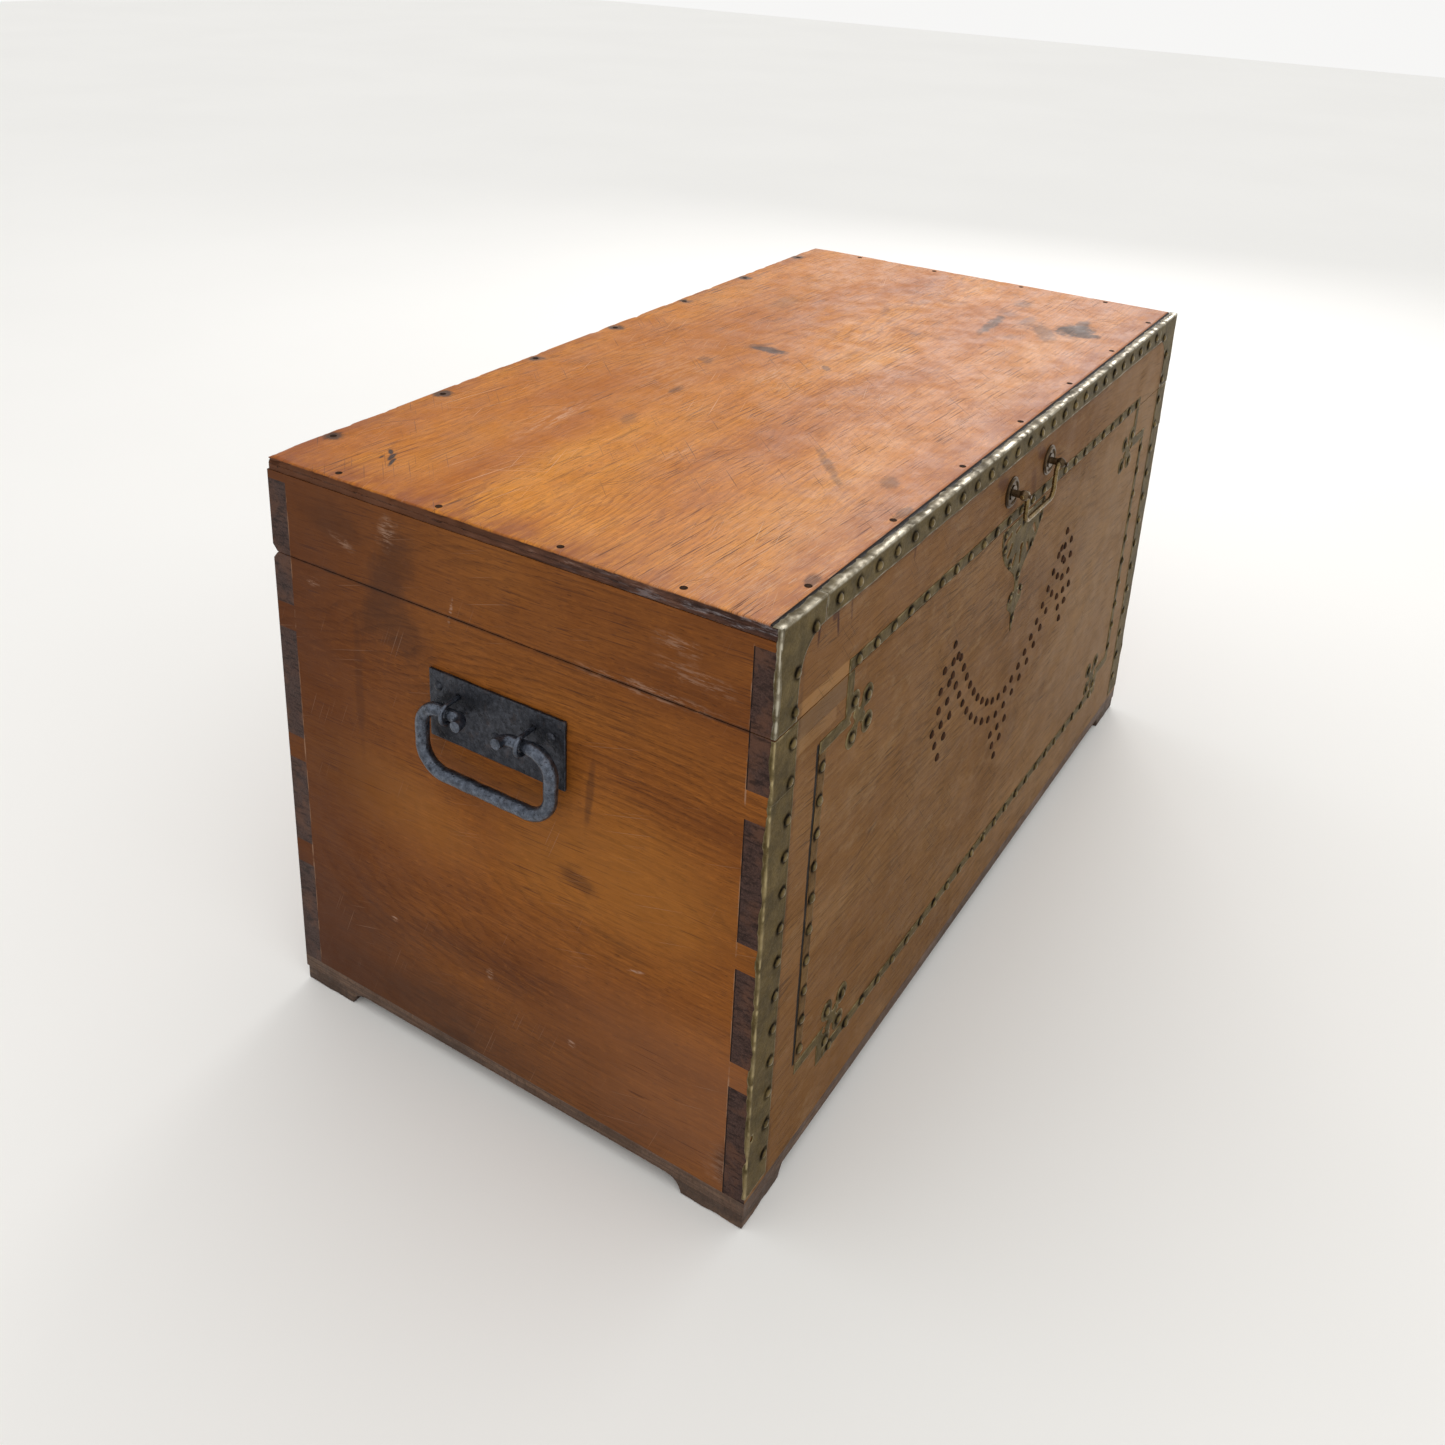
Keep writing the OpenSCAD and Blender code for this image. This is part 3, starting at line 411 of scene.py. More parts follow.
def top_wood():
    s = Wood("wood_top", "xyz", (-0.12, 0.06), 0.035, 0.085, 0.0062, 3.1)
    s.colour = s.colours(
        (0.4, 0.11, 0.01), (0.59, 0.202, 0.018), (0.69, 0.275, 0.034), 0.55, (0.23, 0.058, 0.006)
    )
    rough = s.uneven(38, 0.32, 0.52) + s.fibre * 0.12
    x, y = s.x, s.y
    # Broad bands of colour along the board
    band = s.drawn((0.6, 9, 1), 2)
    s.tint(s.fade(band, 0.45, 0.65) * 0.32, (0.36, 0.1, 0.016))
    # Rubbed reddish brown along the front and left edges
    near_edge = s.most(s.fade(y, FRONT + 0.075, FRONT + 0.012), s.fade(x, -HALF + 0.05, -HALF + 0.004))
    near_edge = s.most(near_edge, s.fade(y, BACK - 0.03, BACK - 0.004) * 0.8)
    worn = near_edge * s.fade(s.drawn((22, 60, 60), 6, 0.7), 0.35, 0.62)
    s.tint(worn * 0.7, (0.24, 0.062, 0.022))
    # Smudges of handling in the front half
    smudge = s.drawn((26, 44, 30), 6, 0.72, move=(3, 1, 0))
    smudge = s.fade(smudge, 0.53, 0.68) * s.fade(y + x * -0.15, 0.1, -0.15)
    s.tint(smudge * 0.42, (0.24, 0.07, 0.022))
    bloom = s.drawn((30, 52, 30), 6, 0.72, move=(7, 5, 0))
    bloom = s.fade(bloom, 0.56, 0.7) * s.fade(y, 0.08, -0.18)
    s.tint(bloom * 0.34, (0.64, 0.36, 0.24))
    # Painted sheen: a pale pinkish glare lightened into the colour towards the front
    front_sheen = s.fade(s.wander(y, 0.12), 0.04, -0.2, 0.0, 0.24)
    s.tint(front_sheen, (0.66, 0.35, 0.235))
    # Dark water stains
    dark = s.spots(x, y, TOP_STAINS, 0.5, 0.8, 75)
    dark = dark * s.fade(s.fibre, 0.3, 0.46, 0.55, 1.0)
    s.tint(dark, (0.045, 0.026, 0.020))
    # Ring left by a wet pot
    ring = s.length(x - 0.255, y - -0.035)
    ring = s.near(ring, 0.072, 0.013, 0.003)
    ring = ring * s.patchy(22, 5, 0.42, 0.62, 0.7)
    s.tint(ring * 0.5, (0.16, 0.05, 0.02))
    # Nail stains along the back edge
    step = s.calc("MODULO", x + 0.128 * 6.5, 0.128) - 0.064
    nail = s.length(step, y - (BACK - 0.0095))
    nail = nail + (s.noise(s.at, 90, 4, 0.7) - 0.5) * 0.016
    s.tint(s.fade(nail, 0.011, 0.004) * 0.85, (0.025, 0.018, 0.014))
    # Scratches: pale where the varnish is scored, dark where dirt has filled them
    pale = s.most(
        s.scratches((x, y), 0.18, 0.11, 0.001, 0.755, 1.0),
        s.scratches((x, y), -0.35, 0.08, 0.0009, 0.765, 5.0),
    )
    pale = s.most(pale, s.scratches((x, y), 1.0, 0.07, 0.0008, 0.77, 9.0))
    gate = s.patchy(9, 3, 0.44, 0.6, 0.6)
    front_left = s.fade(y, -0.02, -0.2) * s.fade(x, 0.0, -0.4)
    fine_score = s.scratches((x, y), 0.06, 0.024, 0.0008, 0.65, 21.0) * s.fade(front_left, 0.2, 0.9)
    pale = s.most(pale * gate, fine_score * 0.8)
    filled = s.scored(
        (x, y),
        ((-0.8, 0.07, 0.001, 0.755, 13.0), (7, 3, 0.46, 0.6)),
        ((0.05, 0.05, 0.0014, 0.675, 17.0), (12, 4, 0.44, 0.58)),
        ((0.6, 0.06, 0.0012, 0.755, 27.0), (10, 4, 0.46, 0.6)),
    )
    s.tint(filled * 0.75, (0.1, 0.034, 0.012))
    streaks = s.fade(s.drawn((60, 420, 60), 4, 0.7), 0.48, 0.62)
    pale = s.most(pale, s.spots(x, y, TOP_SCUFFS, 0.5, 1.2, 45, streaks))
    s.tint(pale * 0.55, (0.74, 0.48, 0.33))
    # Painted shade: near-black in the rebate cut for the brass flange, showing past its ragged edge
    rebate_shade = s.fade(y, FRONT + 0.0093, FRONT + 0.0090)
    s.tint(rebate_shade, (0.012, 0.009, 0.008))
    # The board's own edge: dark, open and battered
    rim = s.most(s.fade(s.size(x), HALF - 0.0012, HALF - 0.0001), s.fade(s.z, TOP - 0.0008, TOP - 0.002))
    edge_noise = s.drawn((60, 30, 220), 5, 0.7)
    edge_colour = s.ramp(
        edge_noise,
        [
            (0.34, (0.014, 0.007, 0.006)),
            (0.48, (0.045, 0.019, 0.012)),
            (0.62, (0.095, 0.042, 0.026)),
            (0.74, (0.22, 0.15, 0.12)),
        ],
    )
    edge_colour = s.mix(s.fade(y, -0.10, 0.12, 0.0, 0.65), edge_colour, (0.115, 0.040, 0.014))
    frost = s.fade(s.drawn((60, 45, 320), 6, 0.75), 0.5, 0.66) * s.fade(y, -0.02, -0.2)
    edge_colour = s.mix(frost * 0.6, edge_colour, (0.3, 0.27, 0.28))
    s.tint(rim, edge_colour)
    rough = rough + s.most(pale, rim) * 0.25
    rough = s.bare(rough)
    relief = s.height(0.5) - s.most(filled, pale) * 0.9
    normal = s.bump(s.drawn((14, 30, 30), 3), 0.25, 0.0012)
    normal = s.bump(relief, 0.5, 0.0003, normal)
    return s.finish(rough, normal, Specular_IOR_Level=0.14)


# Stains on the top: place (x, y) and radii in mm, turn, weight
TOP_STAINS = [
    (302, -152, 24, 18, 0.0, 0.92),
    (272, -128, 30, 10, 0.5, 0.5),
    (290, -166, 10, 14, 0.3, 0.85),
    (325, -150, 16, 7, 0.0, 0.75),
    (268, -72, 40, 6, 0.05, 0.72),
    (300, -100, 20, 8, 0.2, 0.35),
    (365, -70, 14, 10, 0.0, 0.4),
    (36, 68, 7, 20, 0.05, 0.85),
    (40, 84, 14, 6, -0.4, 0.55),
    (22, -3, 8, 4, 0.8, 0.55),
    (-30, 100, 12, 6, 0.9, 0.4),
    (-118, 75, 12, 4, 0.1, 0.45),
    (-205, 65, 14, 6, 0.2, 0.3),
    (-195, -120, 34, 4, 0.7, 0.45),
    (-195, -172, 12, 7, 0.4, 0.45),
    (195, 140, 30, 12, 0.1, 0.25),
    (-240, -205, 12, 4, 0.0, 0.6),
    (-375, -203, 10, 5, 0.2, 0.6),
    (-396, 153, 7.5, 1.8, 0.5, 1.0),
    (-387, 161, 8.5, 2.2, 0.4, 1.0),
    (-381, 168, 5.5, 2, 0.9, 1.0),
    (-392, 167, 3.5, 1.2, 0.2, 0.9),
]
# Pale scuffs on the top
TOP_SCUFFS = [
    (-235, 115, 50, 8, 0.06, 0.9),
    (-30, 30, 30, 10, 0.1, 0.9),
    (10, 18, 35, 5, 0.05, 0.8),
    (-240, -10, 25, 6, 0.0, 0.6),
    (-80, 105, 80, 30, 0.5, 0.35),
    (190, 120, 40, 6, 0.3, 0.5),
    (-400, -178, 18, 10, 0.0, 0.7),
    (-360, -175, 10, 8, 0.0, 0.5),
]


def end_wood():
    s = Wood("wood_end", "yzx", (-0.050, 0.243), 0.026, 0.42, 0.0088, 7.7)
    s.colour = s.colours((0.125, 0.035, 0.0055), (0.215, 0.067, 0.0098), (0.290, 0.098, 0.0140), 0.50)
    y, z = s.y, s.z
    glow = s.most(
        s.spot(y, z, (0.125, 0.243), (0.07, 0.035), 0.1, 0.3, 1.4, 14),
        s.spot(y, z, (-0.1, 0.262), (0.1, 0.045), -0.12, 0.3, 1.4, 14),
    )
    s.tint(glow * 0.42, (0.36, 0.138, 0.022))
    low = s.fade(s.wander(z, 0.1), 0.16, 0.02)
    s.tint(low * s.fade(y, -0.16, 0.12, 0.3, 0.72), (0.055, 0.028, 0.018))
    blush = s.fade(y, 0.02, -0.17) * s.near(z, 0.1, 0.1, 0.03)
    s.tint(blush * 0.4, (0.24, 0.1, 0.045))
    dusk = s.fade(s.wander(y, 0.2), 0.03, 0.22)
    s.tint(dusk * 0.72, (0.07, 0.018, 0.0035))
    upper = s.fade(s.wander(z, 0.1), 0.37, 0.45)
    s.tint(upper * 0.35, (0.1, 0.032, 0.01))
    dark = s.spots(y, z, END_STAINS, 0.4, 0.9, 40)
    s.tint(dark, (0.035, 0.014, 0.008))
    rubbed = s.fade(s.drawn((200, 55, 420), 5, 0.75), 0.46, 0.6)
    pale = s.spots(y, z, END_SCUFFS, 0.5, 1.2, 60, rubbed)
    hairs = s.scored(
        (y, z),
        ((1.2, 0.06, 0.0009, 0.785, 2.0), (8, 3, 0.46, 0.6)),
        ((0.3, 0.08, 0.0009, 0.775, 6.0), (10, 3, 0.46, 0.6)),
    )
    pale = s.most(pale, hairs * 0.5)
    filled = s.scratches((y, z), 0.05, 0.05, 0.0012, 0.69, 12.0) * s.patchy(9, 3, 0.46, 0.6)
    s.tint(filled * 0.6, (0.05, 0.016, 0.008))
    s.tint(pale * 0.6, (0.36, 0.22, 0.15))
    # Pale stopping in the joint next to each corner, and the pins' own end grain
    into = s.size(y - MID) - (MID - FRONT - WALL)
    joint = s.fade(s.size(into + (s.fibre - 0.5) * 0.001), 0.0009, 0.0003) * s.patchy(55, 3, 0.42, 0.6)
    s.tint(joint * 0.7, (0.3, 0.17, 0.1))
    end_grain(s, MID - FRONT, s.size(y - MID))
    # Dirt in the line of the lid
    line = s.near(z, (SPLIT + RIM) / 2, 0.0022, 0.0004)
    line = line * s.patchy(40, 4, 0.3, 0.6, 0.7)
    s.tint(line * 0.7, (0.02, 0.01, 0.007))
    rough = s.uneven(30, 0.38, 0.56) + s.fibre * 0.1
    rough = rough + pale * 0.2
    rough = s.bare(rough)
    normal = s.bump(s.drawn((20, 9, 26), 3), 0.3, 0.0012)
    normal = s.bump(s.height(0.5) - pale * 0.6, 0.5, 0.00025, normal)
    return s.finish(rough, normal, Specular_IOR_Level=0.09)


# Stains on the ends: place (y, z) and radii in mm, turn, weight
END_STAINS = [
    (115, 435, 18, 50, 0.4, 0.5),
    (105, 400, 30, 20, 0.2, 0.45),
    (-205, 55, 12, 20, 0.0, 0.55),
    (60, 30, 20, 10, 0.0, 0.4),
    (-65, 247, 16, 7, 0.2, 0.45),
    (170, 470, 30, 16, 0.1, 0.3),
    (-75, 330, 3, 30, 0.1, 0.4),
    (150, 340, 4, 60, 0.0, 0.25),
]
END_SCUFFS = [
    (112, 478, 7, 14, 0.3, 1.0),
    (-145, 472, 14, 6, 0.0, 0.7),
    (-160, 452, 26, 6, 0.1, 0.6),
    (-125, 429, 50, 4, 0.0, 0.9),
    (-118, 191, 7, 1.2, -0.3, 1.6),
    (22, 116, 2.8, 4, 0.0, 1.6),
    (-60, 90, 3, 3, 0.0, 1.4),
    (125, 121, 3, 2, 0.0, 1.2),
    (52, 433, 1.2, 9, 0.2, 1.2),
    (158, 456, 10, 4, 0.4, 0.8),
    (195, 413, 6, 3, 0.0, 0.9),
    (-200, 50, 12, 20, 0.3, 0.5),
]


def front_wood():
    s = Wood("wood_front", "xzy", (-0.10, 0.19), 0.030, 0.11, 0.0080, 1.3)
    s.colour = s.colours((0.128, 0.056, 0.015), (0.180, 0.085, 0.026), (0.225, 0.114, 0.040), 0.50)
    x, z = s.x, s.z
    warm = s.fade(s.wander(x, 0.5), -0.1, -0.44)
    s.tint(warm * 0.35, (0.19, 0.078, 0.018))
    grey = s.fade(s.wander(x, 0.5), -0.05, 0.4)
    s.tint(grey * 0.52, (0.25, 0.155, 0.08))
    rosy = s.fade(z, RIM, RIM + 0.02) * 0.3
    s.tint(rosy, (0.185, 0.082, 0.028))
    # Pale ghost where a length of the border strip has gone
    face = s.fade(s.y, FRONT + 0.0010, FRONT + 0.0006)
    ghost = s.near(z, RIM + 0.0055, 0.006, 0.0052) * s.near(x, -0.374, 0.041, 0.04)
    ghost = ghost * face
    s.tint(ghost * 0.7, (0.3, 0.155, 0.055))
    ghost = s.near(z, 0.4035, 0.006, 0.005) * s.near(x, -0.385, 0.03, 0.026)
    s.tint(ghost * 0.5, (0.26, 0.14, 0.055))
    ghost = s.near(z, 0.418, 0.0085, 0.008) * s.near(x, -0.378, 0.036, 0.034)
    s.tint(ghost * 0.45, (0.135, 0.09, 0.05))
    dark = s.spots(x, z, FRONT_STAINS, 0.35, 0.9, 60)
    s.tint(dark * face, (0.055, 0.018, 0.01))
    # Dirt gathered along the brass
    along = s.near(s.size(x), HALF - 0.0315, 0.005, 0.0005)
    along = s.most(along, s.near(z, TOP - 0.0215, 0.004, 0.0005))
    along = along * s.patchy(45, 4, 0.3, 0.65, 0.7)
    s.tint(along * 0.5, (0.05, 0.026, 0.014))
    hairs = s.scored(
        (x, z),
        ((0.9, 0.05, 0.001, 0.73, 4.0), (8, 3, 0.46, 0.6)),
        ((0.12, 0.045, 0.0012, 0.675, 8.0), (10, 3, 0.4, 0.55)),
        ((-0.1, 0.045, 0.0011, 0.68, 18.0), (11, 3, 0.42, 0.56)),
    )
    s.tint(hairs * 0.6, (0.05, 0.026, 0.01))
    worn = s.fade(s.drawn((30, 40, 60), 6, 0.72, move=(2, 2, 2)), 0.52, 0.68)
    s.tint(worn * 0.3, (0.27, 0.165, 0.08))
    # Painted shadow: a wavy near-black line beside the left border strip, where the shade of its edge falls
    # on the wood
    wander = (s.drawn((1, 1, 28), 4, 0.6) - 0.5) * 0.0045
    strip_shadow = s.size(x + wander - -0.381)
    strip_shadow = strip_shadow + (s.noise(s.at, 160, 3) - 0.5) * 0.0014
    strip_shadow = s.fade(strip_shadow, 0.0022, 0.0014) * s.near(z, 0.2495, 0.1425, 0.1405)
    s.tint(strip_shadow * face, (0.01, 0.007, 0.005))
    end_grain(s, HALF, s.size(x))
    # Open joint between the end grain and the end boards, painted near-black: a dark joint with a painted
    # shadow line in it
    joint_shadow = s.size(s.y - MID) - (MID - FRONT - WALL)
    joint_shadow = s.fade(joint_shadow, 0.0013, 0.0006) * s.fade(s.size(x), HALF - 0.003, HALF - 0.002)
    joint_shadow = joint_shadow * s.patchy(50, 3, 0.34, 0.5)
    s.tint(joint_shadow, (0.008, 0.005, 0.004))
    rough = s.uneven(30, 0.46, 0.62) + s.fibre * 0.1
    rough = s.bare(rough)
    normal = s.bump(s.drawn((9, 26, 26), 3), 0.3, 0.0012)
    normal = s.bump(s.height(0.6) - hairs * 0.7, 0.6, 0.0003, normal)
    return s.finish(rough, normal, Specular_IOR_Level=0.08)


# Stains on the front: place (x, z) and radii in mm, turn, weight
FRONT_STAINS = [
    (-393, 482, 2, 9, -0.05, 0.9),
    (-366, 479, 1.6, 10, 0.15, 0.95),
    (-371, 485, 4, 4, 0.0, 0.8),
    (-346, 480, 1.6, 8, 0.1, 0.7),
    (-245, 483, 1.6, 6, 0.0, 0.6),
    (-66, 474, 16, 6, -0.4, 0.65),
    (26, 474, 16, 6, -0.5, 0.65),
    (12, 452, 6, 16, 0.35, 0.45),
    (-40, 445, 10, 6, 0.0, 0.35),
    (-290, 250, 30, 1.2, 0.5, 0.35),
]


def back_wood():
    """The plain back: the ends' colour, duller, with its grain along the chest."""
    s = Wood("wood_back", "xzy", (0.14, 0.28), 0.034, -0.12, 0.0085, 9.4)
    s.colour = s.colours((0.105, 0.032, 0.0075), (0.185, 0.062, 0.0140), (0.250, 0.092, 0.0210), 0.65)
    x, z = s.x, s.z
    low = s.fade(s.wander(z, 0.12), 0.13, 0.02)
    s.tint(low * 0.6, (0.055, 0.026, 0.015))
    hinge = s.most(
        s.spot(x, z, (-0.28, 0.415), (0.045, 0.02), 0.0, 0.4, 1.2, 40),
        s.spot(x, z, (0.28, 0.415), (0.045, 0.02), 0.0, 0.4, 1.2, 40),
    )
    s.tint(hinge * 0.45, (0.045, 0.02, 0.01))
    hairs = s.most(
        s.scratches((x, z), 0.12, 0.09, 0.0012, 0.7, 4.0), s.scratches((x, z), -0.7, 0.06, 0.001, 0.73, 8.0)
    )
    hairs = hairs * s.patchy(8, 3, 0.45, 0.6)
    s.tint(hairs * 0.45, (0.3, 0.17, 0.1))
    end_grain(s, HALF, s.size(x))
    rough = s.uneven(30, 0.46, 0.64) + s.fibre * 0.1
    rough = s.bare(rough)
    normal = s.bump(s.drawn((9, 26, 26), 3), 0.3, 0.0012)
    normal = s.bump(s.height(0.6) - hairs * 0.7, 0.6, 0.0003, normal)
    return s.finish(rough, normal, Specular_IOR_Level=0.15)


def base_wood(name, lighter):
    s = Wood(name, "xyz", (0.0, 0.1), 0.10, 0.02, 0.006, 5.9)
    k = 1.55 if lighter else 1.0
    s.colour = s.colours(
        shade((0.04, 0.022, 0.013), k), shade((0.078, 0.043, 0.026), k), shade((0.12, 0.07, 0.044), k), 0.5
    )
    worn = s.fade(s.drawn((24, 24, 90), 6, 0.7), 0.52, 0.72)
    s.tint(worn * 0.6, (0.21, 0.125, 0.075))
    layers = s.fade(s.drawn((6, 6, 520), 3, 0.6), 0.42, 0.6)
    s.tint(layers * 0.45, (0.03, 0.016, 0.01))
    rough = s.uneven(60, 0.5, 0.75)
    normal = s.bump(s.drawn((30, 30, 60), 5, 0.7), 0.6, 0.0012)
    normal = s.bump(s.height(0.7), 0.7, 0.0003, normal)
    return s.finish(rough, normal, Specular_IOR_Level=0.3)


# ---------- metals ----------


def brass(name, dull, rubbed, rubbed_all_over, rough, metal_share):
    """Tarnished brass. Vertex attributes give rubbed edges, which on the lid's fold include a painted glint,
    and dark corners, which are dirt and painted shade.
    """
    s = Surface(name)
    wear, dirt = s.attribute("wear"), s.attribute("dirt")
    patches = s.noise(s.at, 70, 6, 0.65)
    fine = s.noise(s.at, 620, 4, 0.7)
    s.colour = s.ramp(patches, [(0.3, shade(dull, 0.55)), (0.5, dull), (0.72, shade(dull, 1.45))])
    green = s.patchy(34, 5, 0.52, 0.7, 0.7)
    s.tint(green * 0.22, (0.06, 0.058, 0.026))
    s.tint(s.fade(fine, 0.4, 0.7) * 0.35, shade(dull, 0.4))
    bright = (wear + rubbed_all_over) * s.fade(patches + fine * 0.35, 0.42, 0.86)
    bright = s.most(bright, wear * s.fade(wear, 0.45, 0.9))
    # Rubbed brass, with a painted glint where the lid's fold is marked
    s.tint(bright, rubbed)
    # Dark corners: dirt and painted shade round nails and edges
    s.tint(dirt * s.patchy(150, 4, 0.15, 0.6, 0.7), (0.01, 0.007, 0.004))
    roughness = rough + (fine - 0.5) * 0.35 - bright * 0.18
    roughness = roughness + dirt * 0.3
    metal = s.fade(bright + patches * 0.3, 0.0, 1.0, metal_share, 1.0)
    metal = metal * s.fade(dirt, 0.0, 1.0, 1.0, 0.4)
    normal = s.bump(s.noise(s.at, 120, 4, 0.6), 0.35, 0.0008)
    pits = s.fade(s.cells(420), 0.30, 0.10)
    normal = s.bump(fine * 0.7 - pits * 0.5, 0.5, 0.00025, normal)
    return s.finish(roughness, normal, Metallic=metal, Specular_IOR_Level=0.06)


def iron(name, dark, light, rust=0.35, rough=0.42, hammer=0.5, metal=0.85, shine=0.5):
    """Forged iron: hammered, pitted, with rust in the hollows."""
    s = Surface(name)
    wear, dirt = s.attribute("wear"), s.attribute("dirt")
    scale = s.noise(s.at, 190, 6, 0.72)
    fine = s.noise(s.at, 900, 4, 0.7)
    pits = s.fade(s.cells(360), 0.34, 0.12)
    s.colour = s.ramp(
        scale, [(0.3, dark), (0.52, tuple(((a + b) / 2 for a, b in zip(dark, light)))), (0.7, light)]
    )
    s.tint(s.fade(fine, 0.45, 0.7) * 0.4, shade(dark, 0.5))
    brown = s.patchy(85, 6, 0.54, 0.68, 0.7) * rust
    s.tint(brown, (0.085, 0.045, 0.028))
    bright = wear * s.fade(scale + fine * 0.3, 0.35, 0.75)
    s.tint(bright * 0.5, shade(light, 2.5))
    # Dark rims from the vertex attribute, which are dirt and painted shade, and dark pits
    s.tint(s.most(dirt, pits * 0.6) * 0.8, (0.01, 0.009, 0.009))
    roughness = rough + (fine - 0.5) * 0.4
    roughness = roughness + brown * 0.35
    metal = metal - brown * (metal * 0.8)
    normal = s.bump(s.noise(s.at, 130, 3, 0.5), hammer, 0.0012)
    normal = s.bump(scale * 0.8 - pits * 0.8, 0.6, 0.0004, normal)
    return s.finish(roughness, normal, Metallic=metal, Specular_IOR_Level=shine)


materials = {
    "top": top_wood(),
    "end": end_wood(),
    "front": front_wood(),
    "back": back_wood(),
    "base": base_wood("wood_base", True),
    "foot": base_wood("wood_foot", False),
    "black_iron": iron("black_iron", (0.009, 0.01, 0.014), (0.075, 0.08, 0.098), 0.22),
    "stud_iron": iron(
        "stud_iron", (0.014, 0.006, 0.003), (0.05, 0.022, 0.01), 0.6, 0.75, metal=0.0, shine=0.05
    ),
    "worn_iron": iron("worn_iron", (0.022, 0.026, 0.036), (0.165, 0.19, 0.24), 0.16, 0.32, 0.35),
    "steel": iron("steel", (0.18, 0.18, 0.18), (0.42, 0.42, 0.42), 0.1, 0.32, 0.1),
}
# Brass: tarnished colour, rubbed colour, how far it is rubbed all over, roughness, share of metal
for name, dull, rubbed, all_over, rough, metal_share in (
    ("brass_sheet", (0.094, 0.064, 0.021), (0.40, 0.32, 0.17), 0.0, 0.50, 0.08),
    # brass_edge's pale silvery rubbed colour is partly a painted glint along the lid's fold
    ("brass_edge", (0.094, 0.066, 0.023), (0.52, 0.48, 0.38), 0.0, 0.50, 0.08),
    ("brass_nail", (0.085, 0.058, 0.022), (0.27, 0.20, 0.090), 0.0, 0.40, 0.5),
    ("brass_handle", (0.110, 0.074, 0.030), (0.62, 0.44, 0.20), 0.30, 0.28, 0.8),
    ("brass_inner", (0.28, 0.20, 0.075), (0.60, 0.46, 0.22), 0.6, 0.34, 0.8),
    ("brass_dark", (0.070, 0.046, 0.024), (0.42, 0.28, 0.17), 0.15, 0.34, 0.8),
    ("brass_faded", (0.130, 0.070, 0.024), (0.26, 0.17, 0.08), 0.0, 0.6, 0.0),
):
    materials[name] = brass(name, dull, rubbed, all_over, rough, metal_share)


# ---------- shapes ----------


def piece(name, points, faces, key, body, replaced=(), slot=None, **attributes):
    """A mesh piece that rides on a body. Attributes are numbers per vertex."""
    mesh = bpy.data.meshes.new(name)
    mesh.from_pydata([tuple(p) for p in points], [], faces)
    for key_name, values in attributes.items():
        layer = mesh.attributes.new(key_name, "FLOAT", "POINT")
        layer.data.foreach_set("value", np.asarray(values, np.float32))
    mesh.polygons.foreach_set("use_smooth", [True] * len(mesh.polygons))
    mesh.update()
    made = bpy.data.objects.new(name, mesh)
    bpy.context.scene.collection.objects.link(made)
    mesh.materials.append(materials[key])
    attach(made, body)
    if replaced:
        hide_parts(*replaced)
    return made


def grid_faces(rows, columns, offset=0, turned=False):
    index = offset + np.arange(rows * columns).reshape(rows, columns)
    quads = np.stack([index[:-1, :-1], index[:-1, 1:], index[1:, 1:], index[1:, :-1]], -1).reshape(-1, 4)
    return quads[:, ::-1] if turned else quads


